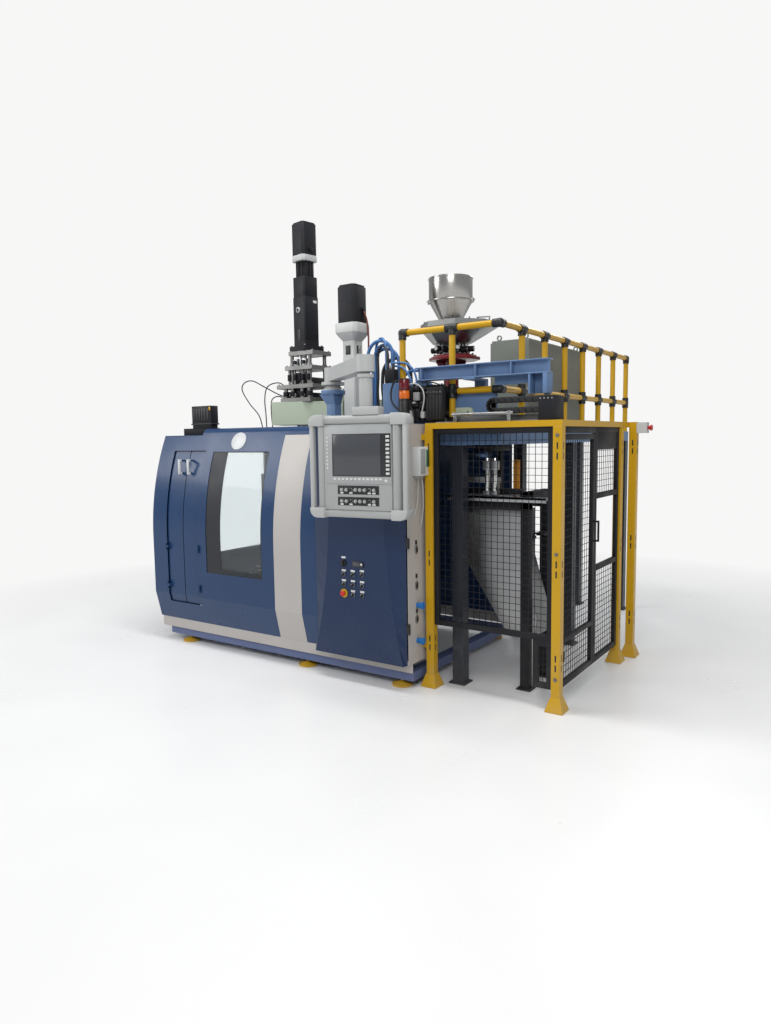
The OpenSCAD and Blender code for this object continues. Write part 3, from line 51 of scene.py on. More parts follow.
# Camera: solved from the straight lines of the photograph
CAMERA_PLACE = (1.5522, -4.0774, 1.65)
CAMERA_TURN = 34.32
CAMERA_PITCH = -5.73
CAMERA_ROLL = -0.82
CAMERA_LENS = 25.5


def make_camera():
    data = bpy.data.cameras.new("camera")
    data.lens = CAMERA_LENS
    data.clip_end = 100
    camera = add_object("camera", data)
    place = Matrix.Translation(CAMERA_PLACE)
    for angle, axis in ((CAMERA_TURN, "Z"), (90 + CAMERA_PITCH, "X"), (CAMERA_ROLL, "Z")):
        place @= Matrix.Rotation(math.radians(angle), 4, axis)
    camera.matrix_world = place
    bpy.context.scene.camera = camera


make_camera()


# Node helpers
class Nodes:
    """The node tree of a material or world, with short calls for the nodes used here."""

    def __init__(self, name, owners=bpy.data.materials, output="OutputMaterial"):
        self.owner = owners.new(name)
        self.owner.use_nodes = True
        self.tree = self.owner.node_tree
        self.tree.nodes.clear()
        self.output = self.add(output)

    def add(self, kind, inputs=None, **settings):
        node = self.tree.nodes.new("ShaderNode" + kind)
        for key, value in settings.items():
            setattr(node, key, value)
        for key, value in (inputs or {}).items():
            if isinstance(value, bpy.types.NodeSocket):
                self.tree.links.new(value, node.inputs[key])
            else:
                node.inputs[key].default_value = value
        return node

    def math(self, operation, *values):
        return self.add("Math", dict(enumerate(values)), operation=operation).outputs[0]

    def spread(self, value, low, high, to_low=0.0, to_high=1.0):
        return self.add("MapRange", {"Value": value, "From Min": low, "From Max": high,
                                     "To Min": to_low, "To Max": to_high}).outputs[0]

    def mix(self, factor, a, b):
        return self.add("Mix", {"Factor": factor, "A": a, "B": b}, data_type="RGBA").outputs["Result"]

    def place(self):
        return self.add("TexCoord").outputs["Object"]

    def noise(self, scale, detail, stretch=None):
        vector = self.place()
        if stretch:
            vector = self.add("Mapping", {"Vector": vector, "Scale": stretch}).outputs[0]
        return self.add("TexNoise", {"Vector": vector, "Scale": scale, "Detail": detail}).outputs["Fac"]

    def surface(self, color, gloss, height, strength, distance, soft):
        """A principled shader with a bump over softened edges."""
        bump = self.add("Bump", {"Strength": strength, "Distance": distance, "Height": height, "Normal": soft})
        return self.add("BsdfPrincipled", {"Base Color": color, "Roughness": gloss, "Normal": bump.outputs[0]})

    def finish(self, shader):
        self.tree.links.new(shader.outputs[0], self.output.inputs["Surface"])
        return self.owner


def tone(color, factor):
    return (*(min(1.0, c * factor) for c in color[:3]), 1.0)


def edge_mask(n, radius):
    """1 on edges, where worn paint and a painted edge highlight go, 0 on flats, from how far a bevelled normal leans
    from the true one.
    """
    soft = n.add("Bevel", {"Radius": radius}, samples=4).outputs[0]
    true = n.add("NewGeometry").outputs["Normal"]
    lean = n.add("VectorMath", {0: soft, 1: true}, operation="DOT_PRODUCT").outputs["Value"]
    return n.spread(lean, 0.995, 0.93), soft


# Heights, in metres, between which the platform's paint changes from a painted shade on its underside to its deck
# colour
DECK_EDGE = (1.600, 1.604)


def paint(name, color, rough=0.42, coat=0.05, peel=0.10, wear_and_highlight=0.28, dust=0.2, edge=0.003, shine=0.3, painted_shade_below=None):
    """Sprayed metal: uneven tone, orange peel, lighter edges that are partly worn paint and partly a painted highlight,
    dust towards the floor, and an optional painted shade below the deck edge.
    """
    n = Nodes(name)
    broad = n.noise(1.7, 3)
    base = n.mix(broad, tone(color, 0.90), tone(color, 1.10))
    height = n.add("SeparateXYZ", {0: n.place()}).outputs["Z"]
    # Below the deck edge the colour is a painted shade, nearly black, for the platform's underside lying in shadow
    if painted_shade_below:
        base = n.mix(n.spread(height, *DECK_EDGE), tone(painted_shade_below, 1.0), base)
    mask, soft = edge_mask(n, edge)
    # Edges lightened in patches: partly worn paint, partly a painted edge highlight
    patchy = n.math("MULTIPLY", mask, n.spread(n.noise(14, 4), 0.35, 0.75))
    base = n.mix(n.math("MULTIPLY", patchy, wear_and_highlight), base, tone((0.62, 0.62, 0.60), 1.0))
    low = n.math("MULTIPLY", n.spread(height, 0.5, 0.0), n.spread(n.noise(9, 5), 0.3, 0.8))
    base = n.mix(n.math("MULTIPLY", low, dust), base, (0.33, 0.31, 0.28, 1))
    gloss = n.spread(n.noise(5, 5), 0.3, 0.7, rough * 0.85, rough * 1.2)
    shader = n.surface(base, gloss, n.noise(420, 2), peel, 0.0006, soft)
    shader.inputs["Specular IOR Level"].default_value = shine
    shader.inputs["Coat Weight"].default_value = coat
    shader.inputs["Coat Roughness"].default_value = 0.12
    return n.finish(shader)


def metal(name, color, rough=0.36, grain=(1.0, 1.0, 60.0), scratch=0.18, edge=0.0015):
    """Brushed or turned metal with fine lines along one direction and a few smudges."""
    n = Nodes(name)
    lines = n.noise(7, 6, stretch=grain)
    smudge = n.noise(3.5, 4)
    base = n.mix(lines, tone(color, 0.86), tone(color, 1.08))
    base = n.mix(n.spread(smudge, 0.5, 0.9, 0, 0.35), base, tone(color, 0.7))
    soft = n.add("Bevel", {"Radius": edge}, samples=4).outputs[0]
    gloss = n.spread(smudge, 0.25, 0.75, rough * 0.75, rough * 1.35)
    shader = n.surface(base, gloss, lines, scratch, 0.0004, soft)
    shader.inputs["Metallic"].default_value = 1.0
    return n.finish(shader)


def plastic(name, color, rough=0.42, grain=0.25, edge=0.002):
    """Moulded plastic or rubber with a fine grain and faint handling marks."""
    n = Nodes(name)
    base = n.mix(n.noise(6, 4), tone(color, 0.88), tone(color, 1.12))
    soft = n.add("Bevel", {"Radius": edge}, samples=4).outputs[0]
    gloss = n.spread(n.noise(11, 4), 0.3, 0.7, rough * 0.85, rough * 1.15)
    return n.finish(n.surface(base, gloss, n.noise(900, 2), grain, 0.0004, soft))


def clear(name, color, rough=0.03):
    """Clear polycarbonate with faint smears."""
    n = Nodes(name)
    gloss = n.spread(n.noise(4, 5), 0.4, 0.8, rough, rough * 4)
    shader = n.add("BsdfPrincipled", {"Base Color": tone(color, 1.0), "Roughness": gloss})
    shader.inputs["Transmission Weight"].default_value = 0.96
    shader.inputs["IOR"].default_value = 1.15
    return n.finish(shader)


# The edge setting of each paint lightens its edges, as worn paint and a painted edge highlight
MATERIALS = {
    "blue": paint("blue_paint", (0.0115, 0.040, 0.112), rough=0.30, coat=0.12, wear_and_highlight=0.15, dust=0.06),
    "door_blue": paint("door_blue_paint", (0.0055, 0.021, 0.069), rough=0.30, coat=0.12, wear_and_highlight=0.15, dust=0.06),
    "cream": paint("cream_paint", (0.44, 0.415, 0.395)),
    "lavender": paint("lavender_paint", (0.095, 0.125, 0.25), rough=0.45, dust=0.10),
    "yellow": paint("yellow_paint", (0.53, 0.30, 0.0065), rough=0.36, coat=0.10),
    "dark": paint("dark_paint", (0.020, 0.022, 0.027), rough=0.45, wear_and_highlight=0.2),
    "black": paint("black_paint", (0.0065, 0.0068, 0.0100), rough=0.56, coat=0.0, wear_and_highlight=0.02, dust=0.12),
    "light_blue": paint("light_blue_paint", (0.112, 0.190, 0.345)),
    # The platform: deck blue above, a painted shade below the deck edge
    "deck_blue_painted_shade": paint("deck_paint_painted_shade", (0.112, 0.190, 0.345), painted_shade_below=(0.020, 0.024, 0.034)),
    "column_grey": paint("column_grey_paint", (0.50, 0.505, 0.49), rough=0.4),
    "panel_grey": paint("panel_grey_paint", (0.36, 0.37, 0.365), rough=0.36),
    "handle_grey": paint("handle_grey_paint", (0.43, 0.44, 0.435), rough=0.36),
    "mid_grey": paint("mid_grey_paint", (0.165, 0.178, 0.158)),
    "mint": paint("mint_paint", (0.45, 0.51, 0.395)),
    "red": paint("red_paint", (0.16, 0.006, 0.010), rough=0.32, coat=0.2),
    "light_orange": paint("orange_paint", (0.62, 0.25, 0.02), rough=0.4),
    "steel": metal("brushed_steel", (0.34, 0.345, 0.35)),
    "stack_steel": metal("stack_steel", (0.20, 0.20, 0.195), rough=0.44, grain=(30.0, 30.0, 1.0)),
    "blender_steel": metal("blender_steel", (0.32, 0.325, 0.32), rough=0.34),
    "chute_steel": metal("chute_steel", (0.40, 0.405, 0.41), rough=0.46, grain=(1.0, 30.0, 1.0)),
    "blue_steel": metal("blue_steel", (0.10, 0.16, 0.30), rough=0.3, grain=(30.0, 1.0, 1.0)),
    "bolt": metal("bolt_steel", (0.20, 0.20, 0.205), rough=0.38),
    "bright": metal("polished_steel", (0.60, 0.60, 0.59), rough=0.18, scratch=0.05),
    "polished": metal("hopper_steel", (0.44, 0.43, 0.41), rough=0.20, grain=(1.0, 1.0, 24.0), scratch=0.04),
    "aluminium": metal("machined_aluminium", (0.42, 0.43, 0.445), grain=(40.0, 1.0, 1.0)),
    "black_plastic": plastic("black_plastic", (0.0085, 0.0085, 0.010), rough=0.48),
    "grey_plastic": plastic("grey_plastic", (0.48, 0.49, 0.48), rough=0.45),
    "bezel_grey": plastic("bezel_grey", (0.34, 0.35, 0.35)),
    "badge_grey": plastic("badge_grey", (0.52, 0.53, 0.54), rough=0.28, grain=0.05),
    "key_white": plastic("key_white", (0.62, 0.63, 0.62)),
    "green": plastic("green_plastic", (0.02, 0.12, 0.05), rough=0.45),
    "connector_blue": plastic("connector_blue", (0.010, 0.14, 0.42), rough=0.36),
    "red_plastic": plastic("red_plastic", (0.50, 0.010, 0.010), rough=0.28, grain=0.08),
    "lens_red": plastic("lens_red", (0.13, 0.006, 0.012), rough=0.2, grain=0.04),
    "lens_orange": plastic("lens_orange", (0.72, 0.14, 0.006), rough=0.2, grain=0.04),
    "screen_frame": plastic("screen_frame", (0.016, 0.017, 0.019), rough=0.35),
    "screen": plastic("screen_glass", (0.060, 0.064, 0.072), rough=0.14, grain=0.02),
    "hose_blue": plastic("hose_rubber", (0.045, 0.145, 0.36), rough=0.34),
    "cable_red": plastic("cable_red", (0.17, 0.035, 0.02)),
    "pane": clear("clear_pane", (0.90, 0.94, 0.95)),
}

# CAD nodes that keep their shape, by finish
FINISH = {
    "blue": "front_casing roof_panel rear_casing left_leaf right_leaf end_door",
    "door_blue": "control_door",
    "cream": "skirt stripe_panel control_cabinet",
    "lavender": "base_frame",
    "yellow": "levelling_feet railing guard_frame",
    "dark": "front_door main_frame clamp_shuttle extruder_drive",
    "deck_blue_painted_shade": "platform",
    "handle_grey": "pendant_arm",
    "mid_grey": "drive_cabinet",
    "mint": "extruder_frame",
    "steel": "extruder_barrel extrusion_head front_platen rear_platen",
    "bright": "extruder_screw parison_rod blow_pins",
    "aluminium": "front_mould rear_mould",
    "black_plastic": "main_switch railing_joints",
    "grey_plastic": "guard_stop",
    "red_plastic": "stop_button guard_button",
    "pane": "front_window end_window",
}
for finish, names in FINISH.items():
    for name in names.split():
        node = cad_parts[name]
        if not node.material_slots:
            node.data.materials.append(MATERIALS[finish])
        for slot in node.material_slots:
            slot.link = "OBJECT"
            slot.material = MATERIALS[finish]


# Geometry helpers, in millimetres
MM = 0.001
# Edges sharper than the first angle are bevelled, and sharper than the second aren't shaded smooth
SHARP_EDGE = 0.45
SMOOTH_EDGE = math.radians(32)


def polar(r, angle, x=0.0, y=0.0):
    """The point at an angle, in degrees, on a circle round (x, y)."""
    return x + r * math.cos(math.radians(angle)), y + r * math.sin(math.radians(angle))


def turned(points, angle, x=0.0, y=0.0):
    """Points turned by an angle, in degrees, and moved to (x, y)."""
    c, s = polar(1, angle)
    return [(x + u * c - v * s, y + u * s + v * c) for u, v in points]


def arc(x, y, r, start, stop, steps=8):
    return [polar(r, start + (stop - start) * k / steps, x, y) for k in range(steps + 1)]


def chamfered(half, cut):
    """A square with its corners cut."""
    h, q = half, half - cut
    return [(h, -q), (h, q), (q, h), (-q, h), (-h, q), (-h, -q), (-q, -h), (q, -h)]


def chamfered_hole(half, cut, r):
    """The square with cut corners and a circle inside it, point for point."""
    corners = [math.atan2(y, x) % math.tau for x, y in chamfered(half, cut)]
    angles = sorted(set(corners + [math.radians(a) for a in range(0, 360, 15)]))
    outer = []
    for a in angles:
        c, s = abs(math.cos(a)), abs(math.sin(a))
        reach = min(half / max(c, 1e-6), half / max(s, 1e-6), (2 * half - cut) / (c + s))
        outer.append((reach * math.cos(a), reach * math.sin(a)))
    return outer, [(r * math.cos(a), r * math.sin(a)) for a in angles]


def enter(name, data, body, nodes):
    """Adds a piece that rides on its body and hides the CAD nodes that it stands for."""
    piece = add_object(name, data)
    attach(piece, body)
    if nodes:
        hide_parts(*nodes)
    return piece


class Piece:
    """One piece drawn in millimetres, with a finish for each solid in it."""

    def __init__(self, name, body=ROOT, place=None):
        self.name, self.body = name, body
        self.place = place or Matrix.Identity(4)
        self.mesh = bmesh.new()
        self.finishes = []

    def solid(self, finish, points, faces, bevel=1.5):
        if finish not in self.finishes:
            self.finishes.append(finish)
        corners = [self.mesh.verts.new(self.place @ Vector(p)) for p in points]
        made = [self.mesh.faces.new([corners[k] for k in ring]) for ring in faces]
        for face in made:
            face.material_index = self.finishes.index(finish)
        bmesh.ops.recalc_face_normals(self.mesh, faces=made)
        if bevel:
            edges = {e for f in made for e in f.edges if e.calc_face_angle(0) > SHARP_EDGE}
            bmesh.ops.bevel(self.mesh, geom=list(edges), offset=bevel, segments=2, profile=0.5,
                            affect="EDGES", clamp_overlap=True, material=-1)

    def prism(self, finish, outline, a, b, bevel=1.5, axis="z"):
        """An outline run from a to b: (x, y) along z, (y, z) along x, or (x, z) along y."""
        order = {"x": (2, 0, 1), "y": (0, 2, 1), "z": (0, 1, 2)}[axis]
        self.loft(finish, [[[(u, v, w)[k] for k in order] for u, v in outline] for w in (a, b)], bevel)

    def loft(self, finish, rings, bevel=1.5, closed=False):
        """A skin over rings of equal count: capped at both ends, or closed on itself."""
        n = len(rings[0])
        points = [p for ring in rings for p in ring]
        steps = range(len(rings) if closed else len(rings) - 1)
        faces = [(n * j + k, n * j + (k + 1) % n, n * ((j + 1) % len(rings)) + (k + 1) % n,
                  n * ((j + 1) % len(rings)) + k) for j in steps for k in range(n)]
        if not closed:
            faces += [tuple(range(n)), tuple(range(n * (len(rings) - 1), n * len(rings)))]
        self.solid(finish, points, faces, bevel)

    def box(self, finish, bevel, *rows):
        """Boxes of one finish, each from x, y, z to x, y, z."""
        for x0, y0, z0, x1, y1, z1 in rows:
            self.prism(finish, [(x0, y0), (x1, y0), (x1, y1), (x0, y1)], z0, z1, bevel)

    def rod(self, finish, start, end, r, r2=None, sides=28, bevel=1.0):
        """A round bar or a cone between two points."""
        start, end = Vector(start), Vector(end)
        turn = (end - start).to_track_quat("Z", "Y").to_matrix()
        ring = [Vector((*polar(1, 360 * k / sides), 0)) for k in range(sides)]
        self.loft(finish, [[p + turn @ (v * q) for v in ring]
                           for p, q in ((start, r), (end, r if r2 is None else r2))], bevel)

    def post(self, finish, x, y, low, high, r, r2=None, sides=28, bevel=1.0):
        """An upright rod."""
        self.rod(finish, (x, y, low), (x, y, high), r, r2, sides, bevel)

    def stud(self, finish, x, z, back, front, r, sides=28, bevel=1.0):
        """A rod that runs towards the front."""
        self.rod(finish, (x, back, z), (x, front, z), r, None, sides, bevel)

    def lathe(self, finish, centre, profile, sides=56, bevel=0):
        """A closed outline of (radius, height) turned round an upright axis."""
        self.loft(finish, [[(*polar(r, 360 * j / sides, *centre), z) for r, z in profile]
                           for j in range(sides)], bevel, closed=True)

    def sleeve(self, finish, half, cut, r, low, high):
        """A block with cut corners and a round hole through it."""
        outer, inner = chamfered_hole(half, cut, r)
        self.loft(finish, [[(x, y, z) for x, y in ring]
                           for ring, z in ((outer, low), (outer, high), (inner, high), (inner, low))], 0, closed=True)

    def make(self, *nodes, slot=None):
        """Makes the object in metres."""
        self.mesh.transform(Matrix.Scale(MM, 4))
        mesh = bpy.data.meshes.new(self.name)
        self.mesh.to_mesh(mesh)
        self.mesh.free()
        for finish in self.finishes:
            mesh.materials.append(MATERIALS[finish])
        mesh.shade_smooth()
        mesh.set_sharp_from_angle(angle=SMOOTH_EDGE)
        enter(self.name, mesh, self.body, nodes)


def at(x, y, z=0.0, turn=0.0):
    return Matrix.Translation((x, y, z)) @ Matrix.Rotation(math.radians(turn), 4, "Z")


def through(points, steps=8):
    """A smooth line through points."""
    points = [Vector(p) for p in points]
    ends = [2 * points[0] - points[1], *points, 2 * points[-1] - points[-2]]
    line = []
    for k in range(len(points) - 1):
        a, b, c, d = ends[k:k + 4]
        for j in range(steps):
            t = j / steps
            line.append(0.5 * (2 * b + (c - a) * t + (2 * a - 5 * b + 4 * c - d) * t * t
                               + (3 * b - a - 3 * c + d) * t * t * t))
    return [*line, points[-1]]


def cord(name, points, r, finish, nodes=()):
    """A cord or hose on a smooth line through points, in millimetres."""
    line = [p * MM for p in through(points)]
    curve = bpy.data.curves.new(name, "CURVE")
    curve.dimensions = "3D"
    curve.bevel_depth = r * MM
    curve.bevel_resolution = 4
    curve.use_fill_caps = True
    spline = curve.splines.new("POLY")
    spline.points.add(len(line) - 1)
    for point, place in zip(spline.points, line):
        point.co = (*place, 1)
    spline.use_smooth = True
    curve.materials.append(MATERIALS[finish])
    piece = enter(name, curve, ROOT, nodes)


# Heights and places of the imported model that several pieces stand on
ROOF = 1755.0
LEFT_ROOF = 1704.1
DECK = 1690.3
CABINET_TOP = 1745
CABINET_SIDE = -930
GUARD_TOP = 1749.3
HEAD = (-2320.0, 500.0)
BLOW = (-1857.0, 500.0)
FEED = polar(1165, 24, *HEAD)
PANEL = at(-1082.9, -479.8, 1485.5, 6.5)
STOP_BUTTON = at(-1418, -237)
ARM_PIVOT = at(-1680, 20)
BEACON = at(-1047, -32, CABINET_TOP)

# Hoses and cables, first of all pieces: arches from foot to foot with a crown height, then free lines
ARCHES = [
    ((-1492, 190), (-1284, 190), 2337, 12, "hose_blue"), ((-1484, 238), (-1262, 238), 2285, 12, "hose_blue"),
    ((-1448, 212), (-1288, 212), 2311, 9, "hose_blue"), ((-1290, 290), (-1040, 290), 2125, 11, "hose_blue"),
    ((-1470, 340), (-1230, 340), 2227, 13, "black_plastic"), ((-1320, 388), (-1020, 388), 2047, 13, "black_plastic"),
    ((-1456, 236), (-1306, 146), 2352, 9, "hose_blue"), ((-1424, 214), (-1276, 122), 2296, 9, "black_plastic")]
for k, (foot, other, top, r, finish) in enumerate(ARCHES):
    foot, other = Vector(foot), Vector(other)
    mid, half, low = (foot + other) / 2, (other - foot) / 2, ROOF + 14
    crown = top - half.length
    wave = [4 * math.sin(2.1 * j + k) for j in range(4)]
    rise = [(foot.x + wave[j], foot.y, low + (crown - low) * j / 4) for j in range(4)]
    bow = [(*(mid - half * polar(1, a)[0]), crown + half.length * polar(1, a)[1]) for a in range(0, 181, 20)]
    fall = [(other.x - wave[j], other.y, low + (crown - low) * j / 4) for j in range(3, -1, -1)]
    cord(f"roof_hose_{k}", rise + bow + fall, r, finish, nodes=("hoses",) if k == 0 else ())
LINES = {
    "grey_cable": ("grey_plastic", 4.5, [
        (-1058, 16, 1978), (-1040, 12, 2002), (-1004, 11, 2010), (-961, 11, 1996), (-929, 11, 1960),
        (-922, 11, 1905), (-934, 12, 1850), (-947, 18, 1815)]),
    "valve_cable_0": ("black_plastic", 5, [
        (-1040, 18, 1950), (-1046, 8, 1915), (-1034, 6, 1870), (-1008, 8, 1830), (-1000, 12, 1790),
        (-1002, 18, 1759)]),
    "valve_cable_1": ("black_plastic", 4.5, [
        (-903, 26, 1990), (-900, 14, 2004), (-880, 10, 2012), (-848, 10, 2008), (-826, 16, 1999), (-822, 26, 1990)]),
    "side_hose_0": ("hose_blue", 7, [
        (-1256, 130, 2168), (-1196, 112, 2166), (-1118, 104, 2156), (-1058, 100, 2108), (-1030, 100, 2030),
        (-1026, 100, 1942)]),
    "side_hose_1": ("hose_blue", 7, [
        (-1256, 108, 2140), (-1190, 92, 2142), (-1124, 84, 2122), (-1080, 82, 2070), (-1058, 82, 2000),
        (-1052, 82, 1942)]),
    "motor_cable": ("cable_red", 7, [
        (-1769, 520, 2640), (-1752, 545, 2560), (-1746, 556, 2440), (-1750, 556, 2240), (-1752, 552, 2000),
        (-1756, 548, 1840), (-1766, 540, 1757)]),
    "loop_cable": ("black_plastic", 6, [
        (-1139, 30, 2040), (-1168, 22, 2020), (-1184, 16, 1960), (-1176, 16, 1900), (-1140, 20, 1856),
        (-1090, 28, 1836), (-1068, 36, 1800), (-1064, 40, 1757)]),
    "head_cable_0": ("black_plastic", 4.5, [
        (-2500, 452, 2000), (-2560, 400, 2032), (-2640, 330, 2090), (-2740, 300, 2141), (-2830, 296, 2128),
        (-2856, 296, 2070), (-2780, 298, 1960), (-2680, 300, 1860), (-2640, 300, 1757)]),
    "head_cable_1": ("black_plastic", 4.5, [
        (-2500, 470, 2070), (-2540, 400, 2120), (-2600, 330, 2090), (-2612, 304, 1990), (-2600, 300, 1860),
        (-2596, 300, 1757)]),
    "head_cable_2": ("black_plastic", 4.5, [
        (-2500, 440, 1985), (-2530, 380, 2010), (-2548, 320, 1980), (-2540, 300, 1880), (-2530, 300, 1757)]),
    "module_cable_0": ("grey_plastic", 3, [
        (-905, -98, 1399), (-905, -100, 1340), (-908, -106, 1240), (-922, -108, 1190), (-929, -110, 1160)]),
    "module_cable_1": ("grey_plastic", 3, [
        (-896, -70, 1399), (-890, -66, 1330), (-894, -60, 1200), (-910, -58, 1100), (-929, -58, 1060)]),
}
for name, (finish, r, points) in LINES.items():
    cord(name, points, r, finish)


# Operator panel
def make_panel():
    p = Piece("panel_body", "operator_panel", PANEL)
    p.box("panel_grey", 2, (-236, -42, -266, 236, 42, 257))
    for s in (-1, 1):
        rail = [*arc(262, -20.5, 27.5, 180, 360), (289.5, 30), (283, 44), (241, 44), (234.5, 30)]
        p.prism("panel_grey", [(s * u, v) for u, v in rail], -262, 253, 1)
        handle = [*arc(325, -42, 15, 180, 360), (340, -20), (333, -13), (317, -13), (310, -20)]
        p.prism("handle_grey", [(s * u, v) for u, v in handle], -262, 256, 1)
        for inner, edge, e in ((250, 320, 1), (-257, -320, -1)):
            cap = [(235, inner), (340, inner), *[(290 + u, edge + e * (v - 50)) for u, v in arc(0, 0, 50, 0, 90, 9)],
                   (235, edge)]
            p.prism("handle_grey", [(s * u, v) for u, v in cap], -61, 52, 5, "y")
    for low, high in ((255, 314), (-316, -264)):
        mid, r = (low + high) / 2, (high - low) / 2
        beam = [(r - 48 - v, mid + u) for u, v in arc(0, 0, r, 0, 180, 12)]
        p.prism("panel_grey", [*beam, (40, low), (46, low + 6), (46, high - 6), (40, high)], -238, 238, 0, "x")
    for x in (-150, 0, 150):
        for z in (-200, 200):
            p.stud("steel", x, z, 41, 44, 5, sides=16, bevel=0.6)
    p.prism("handle_grey", [(-37, -34), (-31, -40), (142, -40), (148, -34), (148, 34), (142, 40), (-31, 40), (-37, 34)],
            312, 362, 4)
    p.post("handle_grey", 38.8, 8.5, 360, 556, 42, sides=40)
    p.post("handle_grey", 38.8, 8.5, 536, 556.5, 52, sides=40)
    p.make("panel_housing")

    p = Piece("panel_bezel", "operator_panel", PANEL)
    p.box("bezel_grey", 2, (-222, -47, -105, 236, -41, 248))
    p.box("screen_frame", 1, (-175, -48.6, -59, 232, -46, 200))
    for low, high in ((-169, -115.5), (-238, -186)):
        p.box("black_plastic", 1.5, (-141.5, -45, low, 148, -41, high))
        z = (low + high) / 2 + 0.7
        for k in range(8):
            x = -111.5 + 32.2 * k
            p.stud("steel", x, z, -44, -48, 12, sides=24, bevel=0.6)
            p.stud("black_plastic" if k in (2, 6) else "bezel_grey", x, z, -47.5, -55, 9.5, sides=24)
            if k in (0, 2, 6, 7):
                p.box("key_white", 0.4, (x - 11, -46, z - 24, x + 11, -44.5, z - 14))
    keys = [(200, -50, 174 - 24.5 * k, 224, -48, 188 - 24.5 * k) for k in range(10)]
    keys += [(-216, -49, 170 - 23 * k, -204, -46.8, 182 - 23 * k) for k in range(9)]
    keys += [(-167 + 29 * k, -48.5, -81, -149 + 29 * k, -46.8, -69) for k in range(12)]
    p.box("key_white", 0.8, *keys)
    p.stud("key_white", 198, -83, -46.8, -49, 9, sides=24, bevel=0.6)
    p.make("panel_front")

    p = Piece("panel_glass", "operator_panel", PANEL)
    p.box("screen", 0.8, (-165.5, -49.6, -53, 163, -48, 194))
    p.make("panel_screen")


make_panel()


